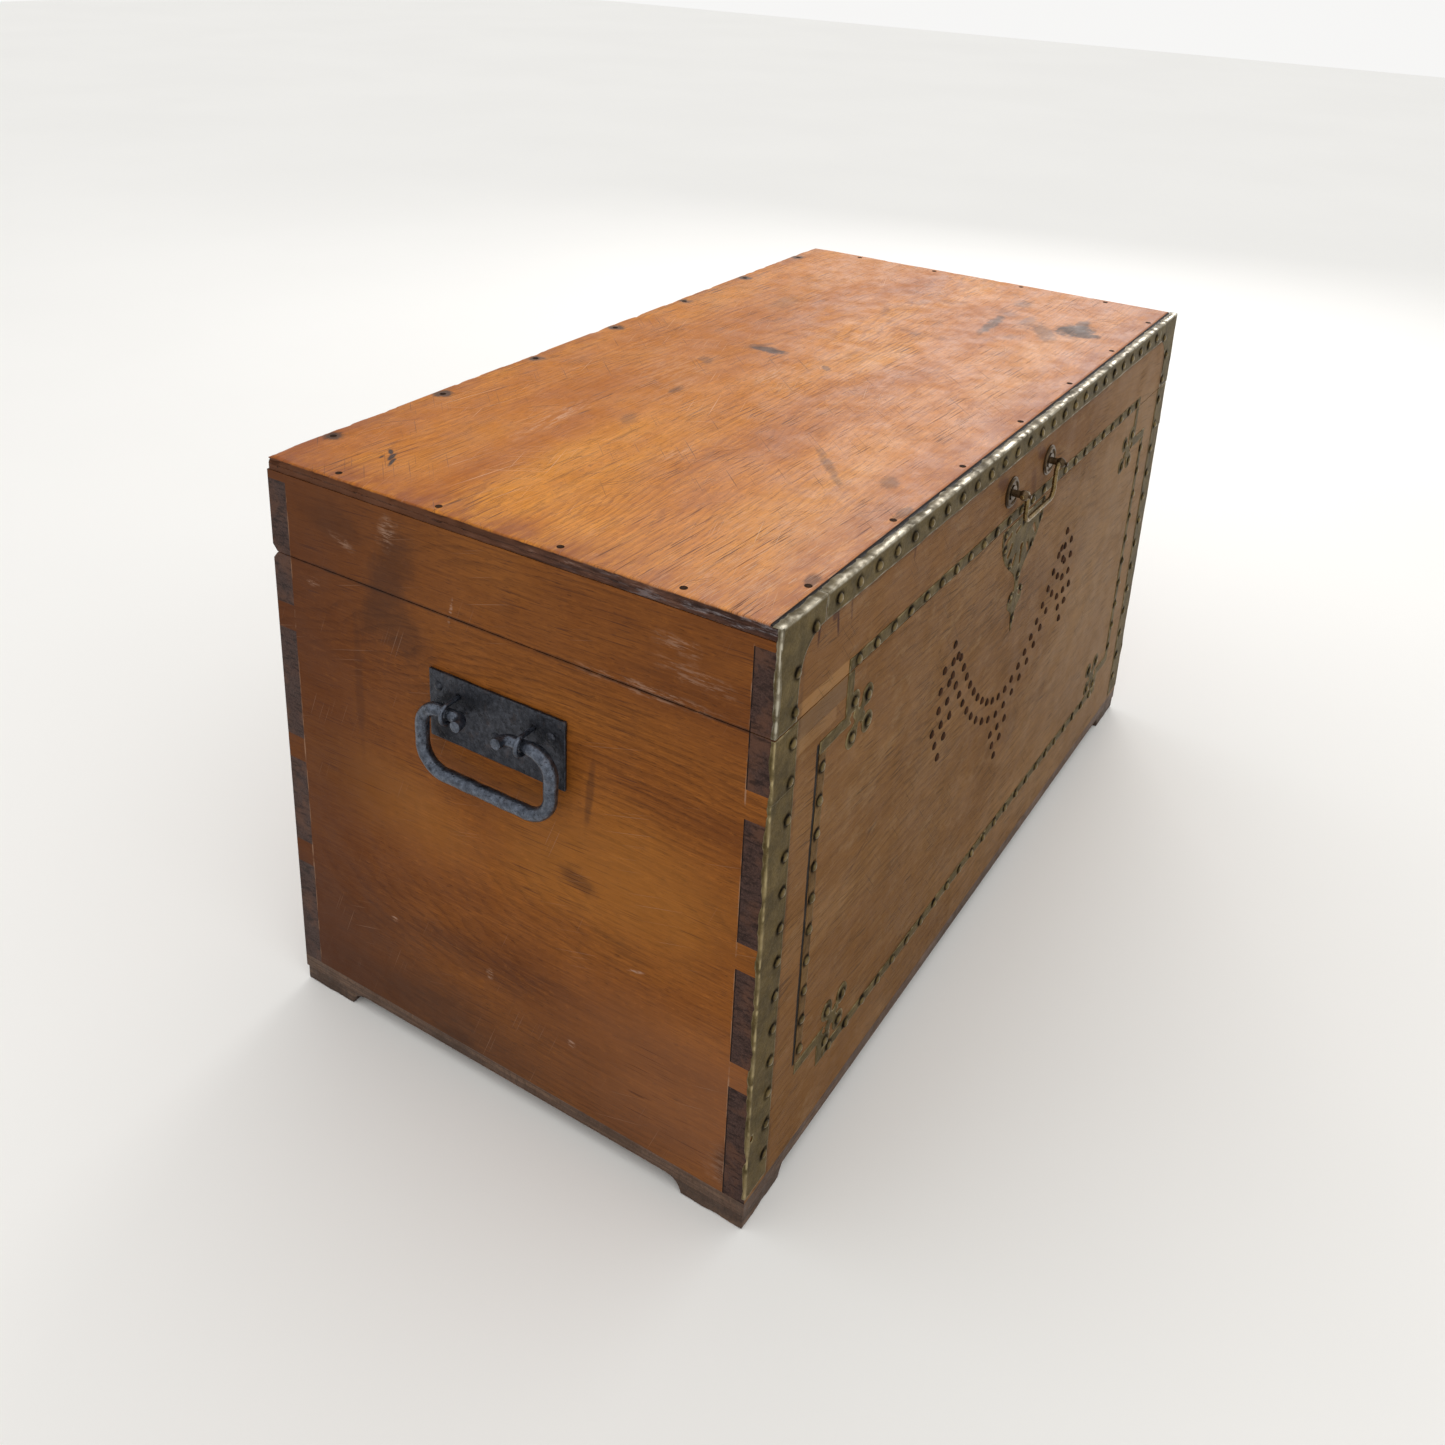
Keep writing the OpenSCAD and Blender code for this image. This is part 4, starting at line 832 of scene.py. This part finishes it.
def sheet(
    name, place, u_lines, v_lines, cell, thick, key, body, inside,
    lift=None, marks=(), fold=None, bright=None, replaced=(),
):
    """A sheet of metal over a flat or folded face.

    place(u, v, h) gives points at height h over the face, for arrays. u_lines and v_lines are the ends of a
    range, or all the lines of the grid. inside(u, v) is negative in the metal and its size is the distance
    to the edge. lift(u, v) is the height of the sheet's underside. marks are the places (u, v) of the nails
    that hold it. fold is the u where it is bent and so rubbed, and bright(u) is how much it is polished; on
    the lid's brass both also paint a glint along the fold.
    """
    u_lines, v_lines = (
        line if len(line) > 2 else np.linspace(*line, max(2, int(round((line[1] - line[0]) / cell)) + 1))
        for line in (u_lines, v_lines)
    )
    u, v = (a.ravel() for a in np.meshgrid(u_lines, v_lines))
    quads = grid_faces(len(v_lines), len(u_lines))
    quads = quads[inside(u[quads].mean(1), v[quads].mean(1)) < 0]
    sides = np.concatenate([quads[:, [i, (i + 1) % 4]] for i in range(4)])
    ordered = np.sort(sides, axis=1)
    _, first, count = np.unique(ordered, axis=0, return_index=True, return_counts=True)
    rim = sides[first[count == 1]]
    # The rim's points move to where inside is 0
    moving = np.unique(rim)
    e, most = 0.2 * cell, 0.7 * cell
    for _ in range(3):
        here = inside(u[moving], v[moving])
        gu = (inside(u[moving] + e, v[moving]) - inside(u[moving] - e, v[moving])) / (2 * e)
        gv = (inside(u[moving], v[moving] + e) - inside(u[moving], v[moving] - e)) / (2 * e)
        steep = np.maximum(gu * gu + gv * gv, 0.25)
        u[moving] -= np.clip(here * gu / steep, -most, most)
        v[moving] -= np.clip(here * gv / steep, -most, most)
    to_edge = -inside(u, v)
    spread = flat(u, v)
    under = np.maximum(lift(u, v) if lift else 0 * u, 0)
    near = np.full(len(u), 1.0)
    for mark in marks:
        near = np.minimum(near, np.hypot(u - mark[0], v - mark[1]))
    wobble = 0.00022 * noise(spread, 0.022, 11) + 0.00008 * noise(spread, 0.006, 12)
    dent = -0.00025 * np.exp(-((near / 0.007) ** 2))
    rounding = -0.45 * thick * smooth(0.0012, 0.0, np.maximum(to_edge, 0))
    over = under + np.maximum(thick + wobble + dent + rounding, 0.35 * thick)
    used = np.unique(quads)
    renumber = np.zeros(len(u), np.int64)
    renumber[used] = np.arange(len(used))
    n = len(used)
    upper = place(u[used], v[used], over[used])
    lower = place(u[used], v[used], under[used])
    quads, rim = renumber[quads], renumber[rim]
    walls = np.stack([rim[:, 1], rim[:, 0], rim[:, 0] + n, rim[:, 1] + n], 1)
    faces = np.concatenate([quads, quads[:, ::-1] + n, walls])
    ragged = noise(spread, 0.004, 21)
    wear = smooth(0.0016, 0.0, to_edge) * (0.55 + 0.5 * ragged)
    if fold is not None:
        wear = np.maximum(wear, smooth(0.0018, 0.0, np.abs(u - fold)) * (0.75 + 0.35 * ragged))
    # Darkening round each nail head, patchily along the edges and on the underside: dirt and painted shade
    dirt = np.where(near < 1, smooth(0.0068, 0.0042, near + 0.0008 * ragged), 0.0)
    dirt = np.maximum(dirt, 0.3 * smooth(0.004, 0.001, to_edge) * smooth(-0.2, 0.5, noise(spread, 0.012, 22)))
    # On the lid's brass this polish is partly a painted glint along the fold
    if bright:
        wear = np.maximum(wear, bright(u) * (0.62 + 0.45 * ragged + 0.3 * noise(spread, 0.02, 23)))
    wear, dirt = np.clip(wear, 0, 1)[used], np.clip(dirt, 0, 1)[used]
    wear, dirt = np.concatenate([wear, 0 * wear]), np.concatenate([dirt, 0 * dirt + 0.8])
    points = np.concatenate([upper, lower])
    aim_outward(
        piece(name, points, faces.tolist(), key, body, replaced, "brass_sheet", wear=wear, dirt=dirt)
    )


def aim_outward(made):
    """Turns the faces of a closed mesh outward if they point in."""
    b = bmesh.new()
    b.from_mesh(made.data)
    bmesh.ops.recalc_face_normals(b, faces=b.faces)
    b.to_mesh(made.data)
    b.free()


def on_front(u, v, h):
    return np.stack([u, FRONT - h, v], 1)


def folded(corner, first, second, along):
    """A place function for a sheet folded round an edge.

    u is 0 on the fold, less on the first face and more on the second, and v runs along the edge. first and
    second point away from the edge on each face.
    """
    corner, first, second, along = (np.array(p, float) for p in (corner, first, second, along))

    def place(u, v, h):
        turn = smooth(-0.0012, 0.0012, u)[:, None]
        path = np.where(u[:, None] < 0, -u[:, None] * first, u[:, None] * second)
        normal = -second * (1 - turn) - first * turn
        return corner + path + along * v[:, None] + normal * h[:, None]

    return place


def islands(node):
    """Lowest and highest corner of each separate lump of a CAD node, in the row frame."""
    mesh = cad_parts[node].data
    co = np.zeros(len(mesh.vertices) * 3)
    mesh.vertices.foreach_get("co", co)
    co = co.reshape(-1, 3)
    parent = np.arange(len(co))
    key = {}
    for i, p in enumerate(np.round(co, 6)):
        parent[i] = key.setdefault(tuple(p), i)

    def find(i):
        while parent[i] != i:
            parent[i] = parent[parent[i]]
            i = parent[i]
        return i

    for e in mesh.edges:
        a, b = find(e.vertices[0]), find(e.vertices[1])
        if a != b:
            parent[a] = b
    roots = np.array([find(i) for i in range(len(co))])
    found = []
    for r in np.unique(roots):
        p = co[roots == r]
        found.append((p.min(0), p.max(0)))
    return sorted(found, key=lambda lo_hi: tuple(np.round(lo_hi[0], 4)))


def domes(name, node, key, body, seed, normal, surface, slot, grow=1.0):
    """Hand-made nail heads where a CAD node has its own: each a little different in size, tilt and dents."""
    rng = np.random.default_rng(seed)
    normal = np.array(normal, float)
    side = np.cross(normal, [0.3, 0.5, 0.8])
    side /= np.linalg.norm(side)
    up = np.cross(normal, side)
    rings = [(0.25, 0.965), (0.48, 0.86), (0.68, 0.68), (0.84, 0.43), (0.94, 0.2), (1.0, 0.06), (1.0, -1.0)]
    around = 18
    angle = 2 * math.pi * np.arange(around) / around
    points, faces, wear, dirt, centres = [], [], [], [], []
    axis = int(np.argmax(np.abs(normal)))
    for low, high in islands(node):
        centre = (low + high) / 2
        size = [high[i] - low[i] for i in range(3) if i != axis]
        radius = max(size) / 2
        height = radius * 0.58
        centre[axis] = surface
        centres.append(centre.copy())
        r, h = radius * grow * rng.uniform(0.93, 1.0), height * rng.uniform(0.8, 1.0)
        tilt = rng.normal(0, 0.06, 2)
        start = len(points)
        points.append(centre + normal * h)
        wear.append(0.9)
        dirt.append(0.0)
        for share, rise in rings:
            dents = rng.normal(0, 0.05, around)
            wide = r * share * (1 + 0.3 * dents * (share > 0.8))
            up_by = (
                h * rise * (1 + 0.5 * dents) + wide * (tilt[0] * np.cos(angle) + tilt[1] * np.sin(angle))
            )
            up_by = np.maximum(up_by, 0.00005) if rise > 0 else np.full(around, -0.0003)
            for w, a, t in zip(wide, angle, up_by):
                points.append(centre + side * w * math.cos(a) + up * w * math.sin(a) + normal * t)
                # Heads darken at the rim, for dirt and painted shade where the dome meets the sheet; the tops
                # are rubbed bright
                wear.append(max(0.0, 0.85 - 0.5 * share))
                dirt.append(1.0 if share > 0.93 else (0.35 if share > 0.8 else 0.0))
        index = start + 1 + np.arange(len(rings) * around).reshape(len(rings), around)
        turned = np.roll(index, -1, axis=1)
        faces += [(start, a, b) for a, b in zip(index[0], turned[0])]
        for k in range(len(rings) - 1):
            faces += list(zip(index[k], index[k + 1], turned[k + 1], turned[k]))
        faces.append(tuple(index[-1][::-1]))
    faces = [tuple(int(i) for i in face) for face in faces]
    aim_outward(piece(name, points, faces, key, body, (node,), slot, wear=wear, dirt=dirt))
    return centres


def outline_of(node):
    """The edges of a CAD node's foremost flat face, as pairs of points (x, z)."""
    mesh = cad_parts[node].data
    co = np.empty(len(mesh.vertices) * 3, np.float32)
    mesh.vertices.foreach_get("co", co)
    co = co.reshape(-1, 3).astype(float)
    level = co[:, 1].min() + 0.00005
    count = {}
    for polygon in mesh.polygons:
        ring = list(polygon.vertices)
        if all(co[i, 1] < level for i in ring):
            for a, b in zip(ring, ring[1:] + ring[:1]):
                pair = tuple(sorted((tuple(np.round(co[a, [0, 2]], 6)), tuple(np.round(co[b, [0, 2]], 6)))))
                count[pair] = count.get(pair, 0) + 1
    return np.array([pair for pair, times in count.items() if times == 1])


def distance_to(segments):
    """A function of arrays u, v: the distance to the outline, negative inside it."""
    a, b = segments[:, 0], segments[:, 1]
    along = b - a
    length = np.maximum((along**2).sum(1), 1e-12)

    def distance(u, v):
        far = np.full(len(u), 1e9)
        odd = np.zeros(len(u), bool)
        for (ax, ay), (dx, dy), squared in zip(a, along, length):
            t = np.clip(((u - ax) * dx + (v - ay) * dy) / squared, 0, 1)
            far = np.minimum(far, np.hypot(u - ax - t * dx, v - ay - t * dy))
            if dy:
                crossing = ((ay > v) != (ay + dy > v)) & (u < ax + (v - ay) * dx / dy)
                odd ^= crossing
        return np.where(odd, -far, far)

    return distance


def marks_in(node, marks):
    low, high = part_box(node)
    return [
        m for m in marks if low.x - 0.002 < m[0] < high.x + 0.002 and low.z - 0.002 < m[1] < high.z + 0.002
    ]


def front_sheet(node, body, cell, marks, key="brass_sheet", wave=0.0):
    """A hand-cut sheet where a CAD node lies flat on the front: same outline, with uneven edges."""
    low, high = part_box(node)
    distance = distance_to(outline_of(node))
    seed = sum(ord(c) for c in node)

    def inside(u, v):
        shift = wave * noise(np.stack([v, 0 * v, 0 * v + 0.3], 1), 0.05, seed)
        cut = 0.00035 * (0.6 + noise(flat(u, v), 0.007, seed, 2))
        return distance(u + shift, v) + cut

    spans = (low.x - 0.001, high.x + 0.001), (low.z - 0.001, high.z + 0.001)
    marks = marks_in(node, marks)
    sheet(node + "_sheet", on_front, *spans, cell, 0.0007, key, body, inside, marks=marks, replaced=(node,))


# ---------- surroundings ----------

world = bpy.data.worlds.new("world")
bpy.context.scene.world = world
world.use_nodes = True
world.node_tree.nodes["Background"].inputs["Color"].default_value = (1.0, 0.995, 0.985, 1)
world.node_tree.nodes["Background"].inputs["Strength"].default_value = 0.93
bpy.context.scene.view_settings.view_transform = "Standard"
bpy.context.scene.view_settings.look = "None"


def area_light(name, place, target, size, power, colour):
    lamp = bpy.data.lights.new(name, "AREA")
    lamp.shape = "RECTANGLE"
    lamp.size, lamp.size_y = size
    lamp.energy = power
    lamp.color = colour
    made = bpy.data.objects.new(name, lamp)
    bpy.context.scene.collection.objects.link(made)
    made.location = place
    made.rotation_euler = (Vector(target) - Vector(place)).to_track_quat("-Z", "Y").to_euler()
    return made


area_light("key_light", (-1.6, -1.3, 2.6), (0, 0, 0.3), (1.6, 1.6), 7, (1.0, 0.97, 0.93))
area_light("sheen_light", (2.4, 0.60, 1.5), (0, 0, 0.45), (1.3, 1.0), 16, (1.0, 0.965, 0.95))

floor_look = Surface("floor")
cloud = floor_look.noise(floor_look.at, 1.3, 3, 0.5)
floor_look.colour = floor_look.mix(
    floor_look.fade(cloud, 0.3, 0.7), (0.90, 0.895, 0.875), (0.915, 0.91, 0.89)
)
grit = floor_look.bump(floor_look.noise(floor_look.at, 300, 3), 0.05, 0.0005)
floor_look.finish(floor_look.fade(cloud, 0.3, 0.7, 0.85, 0.95), grit, Specular_IOR_Level=0.1)
floor_mesh = bpy.data.meshes.new("floor")
floor_mesh.from_pydata([(-9, -9, 0), (9, -9, 0), (9, 9, 0), (-9, 9, 0)], [], [(0, 1, 2, 3)])
floor = bpy.data.objects.new("floor", floor_mesh)
bpy.context.scene.collection.objects.link(floor)
floor_mesh.materials.append(floor_look.material)

# ---------- CAD nodes that stay ----------

LOOKS = {
    "front": ["front_board", "lid_front_rail"],
    "back": ["back_board", "lid_back_rail"],
    "end": ["left_end_board", "right_end_board", "lid_left_rail", "lid_right_rail"],
    "base": ["bottom_board"],
    "foot": ["foot_front_left", "foot_front_right", "foot_back_left", "foot_back_right"],
    "stud_iron": ["bottom_nails", "lid_top_nails"],
    "black_iron": ["handle_plate_left", "handle_plate_right", "handle_nails"],
    "worn_iron": ["handle_staples_left", "handle_staples_right", "handle_bail_left", "handle_bail_right"],
    "brass_handle": ["front_bail"],
    "brass_dark": ["bail_posts", "bail_rosettes"],
    "brass_inner": [
        "lock_case", "lock_cap", "lock_screws", "lock_catch", "lock_catch_screws",
        "hinge_leaf_body_left", "hinge_leaf_body_right", "hinge_leaf_lid_left",
        "hinge_leaf_lid_right", "hinge_screws_body", "hinge_screws_lid", "bail_post_nuts",
    ],
    "steel": ["lock_key_pin", "lock_spring", "lock_bolt", "hinge_pin_left", "hinge_pin_right"],
}


def soften(node, width, segments=2):
    """Rounds a CAD node's edges a little, as handling does."""
    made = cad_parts[node].modifiers.new("eased_edges", "BEVEL")
    made.width = width
    made.segments = segments
    made.limit_method = "ANGLE"
    made.angle_limit = math.radians(35)
    made.use_clamp_overlap = True
    made.harden_normals = False


def forged(node, cell, depth, lump, level=0.78):
    """Gives a CAD node the uneven skin of hammered iron."""
    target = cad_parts[node]
    mesher = target.modifiers.new("fine_mesh", "REMESH")
    mesher.mode = "VOXEL"
    mesher.voxel_size = cell
    mesher.use_smooth_shade = True
    relax = target.modifiers.new("relaxed", "SMOOTH")
    relax.iterations = 2
    relax.factor = 0.5
    texture = bpy.data.textures.new(node + "_lumps", "CLOUDS")
    texture.noise_scale = lump
    texture.noise_depth = 2
    push = target.modifiers.new("hammered", "DISPLACE")
    push.texture = texture
    push.texture_coords = "LOCAL"
    push.mid_level = level
    push.strength = depth


for key, nodes in LOOKS.items():
    for node in nodes:
        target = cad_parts[node]
        for slot in target.material_slots:
            slot.material = materials[key]
        if not target.material_slots:
            target.data.materials.append(materials[key])

for node in LOOKS["front"] + LOOKS["back"] + LOOKS["end"]:
    soften(node, 0.0005)
for node in LOOKS["base"]:
    soften(node, 0.0016, 3)
for node in LOOKS["foot"]:
    forged(node, 0.0012, 0.0022, 0.02, 0.88)
for node in ("handle_plate_left", "handle_plate_right"):
    forged(node, 0.0008, 0.0007, 0.012)
for node in ("handle_bail_left", "handle_bail_right"):
    forged(node, 0.0007, 0.0009, 0.012)
for node in ("handle_staples_left", "handle_staples_right"):
    forged(node, 0.0005, 0.0004, 0.008)
forged("front_bail", 0.00035, 0.0003, 0.008)
for node in ("bail_posts", "bail_rosettes", "handle_nails"):
    soften(node, 0.0003)
for node in LOOKS["brass_inner"] + LOOKS["steel"]:
    soften(node, 0.0002, 1)

# ---------- nails ----------

NAIL_SEAT = FRONT - 0.00072  # the brass sheet's outer face

body_nails = domes(
    "body_trim_nails_hand_made",
    "body_trim_nails",
    "brass_nail",
    "chest",
    11,
    (0, -1, 0),
    NAIL_SEAT,
    "brass_nails",
)
lid_nails = domes(
    "lid_trim_nails_hand_made",
    "lid_trim_nails",
    "brass_nail",
    "lid",
    12,
    (0, -1, 0),
    NAIL_SEAT,
    "brass_nails",
)
domes(
    "garland_studs_hand_made",
    "garland_studs",
    "stud_iron",
    "chest",
    13,
    (0, -1, 0),
    FRONT,
    "black_iron",
    grow=1.22,
)
body_marks = [(c[0], c[2]) for c in body_nails]
lid_marks = [(c[0], c[2]) for c in lid_nails]

# ---------- brass sheet ----------

front_sheet("border_strip_left", "chest", 0.0012, body_marks, "brass_faded", 0.0010)
front_sheet("border_strip_right", "chest", 0.0012, body_marks, wave=0.0008)
front_sheet("border_strip_bottom", "chest", 0.0012, body_marks)
front_sheet("lid_border_strip", "lid", 0.0012, lid_marks)
for corner in ("upper_left", "upper_right", "lower_left", "lower_right"):
    front_sheet("corner_ornament_" + corner, "chest", 0.0010, body_marks)
front_sheet("escutcheon", "chest", 0.0009, body_marks)

WRAP = 0.0040  # how far the brass goes round a corner, on the end
BEND = np.linspace(-0.0012, 0.0012, 7)  # the close lines of a fold
STRAP = 0.031  # width of the strap on the front
LAP = 0.377  # height where the two lengths of a corner strap meet


def at_corner(side):
    return folded((side * HALF, FRONT, 0), (0, 1, 0), (-side, 0, 0), (0, 0, 1))


def corner_lines(width, step):
    return np.concatenate([np.arange(-WRAP, -0.0013, 0.0009), BEND, np.arange(0.0021, width, step)])


def most_of(*distances):
    """Negative only where every distance is: inside all the shapes."""
    return functools.reduce(np.maximum, distances)


def strap(side, side_name, part, floor_z, roof_z, height):
    """One length of the brass strap on a front corner of the chest."""
    node = "corner_brass_" + side_name

    def inside(u, v):
        p = flat(u, v, side)
        edge_in = u - STRAP + 0.0004 + 0.0003 * noise(p, 0.02, 32, 2)
        torn = smooth(0.11, 0.06, v) * 0.0012
        edge_out = -(u + WRAP - 0.0012 - 0.0014 * noise(p, 0.010, 31, 3) - torn)
        ends = np.maximum(floor_z + 0.0004 - v + 0.0006 * noise(p, 0.006, 33, 2), v - roof_z + 0.0003)
        if part == "upper":
            return most_of(edge_in, edge_out, ends)
        hole = 0.0035 - np.hypot((u - 0.0035) / 0.55, v - 0.089) + 0.002 * noise(p, 0.005, 34)
        return most_of(edge_in, edge_out, ends, hole)

    def lift(u, v):
        buckle = smooth(0.10, 0.084, v) * smooth(0.075, 0.09, v) * smooth(0.012, 0.002, u)
        return height * smooth(LAP + 0.016, LAP + 0.006, v) + 0.0006 * buckle

    marks = [(HALF - side * x, z) for x, z in marks_in(node, body_marks)]
    lines, replaced = corner_lines(STRAP + 0.001, 0.0011), (node,) if part == "lower" else ()
    sheet(
        f"{node}_{part}", at_corner(side), lines, (floor_z, roof_z), 0.0011, 0.0006, "brass_sheet", "chest",
        inside, lift, marks, fold=0.0, replaced=replaced,
    )


for side, side_name in ((-1, "left"), (1, "right")):
    low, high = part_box("corner_brass_" + side_name)
    strap(side, side_name, "lower", low.z, LAP + 0.006, 0.0)
    strap(side, side_name, "upper", LAP, high.z, 0.00045)

FLANGE = 0.0086  # how far the lid's brass lies back over the top
REBATE = TOP - 0.0009  # height of the bed that is cut for it
STEP = 0.021  # height of the lid's edge strap on the front
PLATE = 0.060  # width of its corner plates
SEAM = HALF - PLATE


def edge_place(u, v, h):
    """Folded round the lid's top front edge: u is 0 on the fold and runs back over the top, v is x."""
    turn = smooth(-0.0012, 0.0012, u)[:, None]
    path = np.stack([v, np.where(u < 0, FRONT, FRONT + u), np.where(u < 0, REBATE + u, REBATE)], 1)
    normal = np.array([0, -1.0, 0]) * (1 - turn) + np.array([0, 0, 1.0]) * turn
    return path + normal * h[:, None]


def flange_edge(u, v):
    return u - FLANGE + 0.0020 + 0.0019 * noise(flat(u, v), 0.014, 41, 3)


def middle_inside(u, v):
    low_edge = -(u + STEP - 0.0009) + 0.0003 + 0.0003 * noise(flat(u, v), 0.02, 42, 2)
    return most_of(low_edge, flange_edge(u, v), np.abs(v) - SEAM + 0.0004)


def fold_polish_and_glint(u):
    """How polished the lid's brass is, with a painted glint: bright on the fold and dull along the wood."""
    return smooth(-0.0008, 0.0008, u) * (1 - 0.7 * smooth(0.0022, 0.0050, u))


def lid_sheet(name, lines, ends, cell, inside, node):
    """Brass folded over the lid's front edge."""
    marks = [(z - REBATE, x) for x, z in lid_marks]
    sheet(
        name, edge_place, lines, ends, cell, 0.00062, "brass_edge", "lid", inside,
        marks=marks, fold=0.0, bright=fold_polish_and_glint, replaced=(node,),
    )


def lid_corner(side, node):
    """The plate on a front corner of the lid, and the strip of it that wraps the end."""
    distance = distance_to(outline_of(node))

    def corner_inside(u, v):
        x = side * np.minimum(np.abs(v), HALF - 0.004)
        grain = 0.0003 * (0.8 + noise(flat(u, v), 0.01, 44, 2))
        face = distance(x, np.minimum(REBATE + u, TOP - 0.006)) + grain
        past = np.abs(v) - HALF - 0.0003
        flange = most_of(SEAM - np.abs(v), past, flange_edge(u, v))
        return np.where(u < -0.004, np.maximum(face, past), flange)

    def wrap_inside(u, v):
        p = flat(u, v, side)
        edge_out = -(u + WRAP - 0.0010 - 0.0012 * noise(p, 0.010, 45, 3))
        edge_in = u - 0.0030 + 0.0004 * noise(p, 0.008, 46)
        return most_of(edge_in, edge_out, RIM + 0.0004 - v, v - TOP + 0.0006)

    ends = sorted((side * (SEAM - 0.001), side * (HALF + 0.0006)))
    lid_sheet(node + "_plate", top_lines, ends, 0.0011, corner_inside, node)
    lines = corner_lines(0.0042, 0.0009)
    sheet(
        node + "_wrap", at_corner(side), lines, (RIM, TOP), 0.0011, 0.00080, "brass_edge", "lid",
        wrap_inside, fold=0.0,
    )


top_lines = np.concatenate([np.arange(-0.0800, -0.0013, 0.0012), BEND, np.arange(0.0022, 0.0095, 0.0010)])
middle_lines = top_lines[top_lines > -0.0225]
lid_sheet("lid_edge_brass_sheet", middle_lines, (-SEAM, SEAM), 0.0016, middle_inside, "lid_edge_brass")
lid_corner(-1, "lid_corner_brass_left")
lid_corner(1, "lid_corner_brass_right")

# ---------- lid board ----------


def slab(name, lines, shape, key, body, replaced, slot):
    """A closed box on three lists of coordinates, each point then moved by shape(points)."""
    points, faces = [], []
    for axis in range(3):
        a, b = [i for i in range(3) if i != axis]
        ga, gb = np.meshgrid(lines[a], lines[b])
        for level in (lines[axis][0], lines[axis][-1]):
            p = np.empty((ga.size, 3))
            p[:, a], p[:, b], p[:, axis] = ga.ravel(), gb.ravel(), level
            faces.append(grid_faces(len(lines[b]), len(lines[a]), sum(len(q) for q in points)))
            points.append(p)
    points, faces = np.concatenate(points), np.concatenate(faces)
    unique, inverse = np.unique(np.round(points, 7), axis=0, return_inverse=True)
    made = piece(name, shape(unique), inverse.reshape(-1)[faces].tolist(), key, body, replaced, slot)
    aim_outward(made)
    return made


def worn_lid(p):
    """The top board: eased edges, knocked corners and the rebate for the brass."""
    q = p.copy()
    x, y, z = p.T
    side = HALF - np.abs(x)
    front, back = y - FRONT, BACK - y
    chips = np.maximum(0, noise(p * [1, 1, 0.6], 0.012, 51, 3)) * 0.0016
    wide = 0.0011 + chips + 0.0010 * smooth(0.03, 0.0, side) * smooth(0.03, 0.0, np.minimum(back, 1))
    near = np.minimum(np.minimum(side, back), 1)
    upper = z > (top_lo.z + top_hi.z) / 2
    round_off = np.clip(1 - near / (wide * 2.2), 0, 1) ** 2
    q[:, 2] -= np.where(upper, wide * round_off, -0.0004 * round_off)
    depth = (TOP - z) / (wide * 2.2)
    pull = np.clip(1 - depth, 0, 1) ** 2 * wide
    q[:, 0] -= np.sign(x) * np.where(side < 1e-5, pull, 0)
    q[:, 1] -= np.where(back < 1e-5, pull, 0)
    rough = 0.00025 * noise(p, 0.006, 53, 2)
    q[:, 0] -= np.sign(x) * np.where(side < 1e-5, 0.0003 + rough, 0)
    corner = np.hypot(np.maximum(0, 0.004 - side), np.maximum(0, 0.004 - back)) - 0.004
    cut = np.maximum(corner, 0) * 0.8
    q[:, 0] -= np.sign(x) * cut * 0.7
    q[:, 1] -= cut * 0.7
    rebate = (front < 0.00905) & (z > TOP - 1e-5)
    q[:, 2] = np.where(rebate, REBATE - 0.00003, q[:, 2])
    top_face = (z > TOP - 1e-5) & ~rebate
    q[:, 2] -= np.where(top_face, 0.00012 * (1 + noise(p, 0.06, 54, 2)), 0)
    q[:, 0] = np.clip(q[:, 0], -HALF, HALF)
    q[:, 2] = np.minimum(q[:, 2], TOP)
    return q


xs = np.concatenate(
    [
        np.linspace(-HALF, -HALF + 0.006, 7),
        np.linspace(-HALF + 0.0085, HALF - 0.0085, 270),
        np.linspace(HALF - 0.006, HALF, 7),
    ]
)
ys = np.concatenate(
    [
        np.linspace(FRONT, FRONT + 0.009, 4),
        [FRONT + 0.0091],
        np.linspace(FRONT + 0.012, BACK - 0.0085, 128),
        np.linspace(BACK - 0.006, BACK, 7),
    ]
)
zs = np.concatenate([[top_lo.z], np.linspace(top_lo.z + 0.0015, TOP, 9)])
slab("lid_top_board_worn", (xs, ys, zs), worn_lid, "top", "lid", ("lid_top_board",), "wood_top")
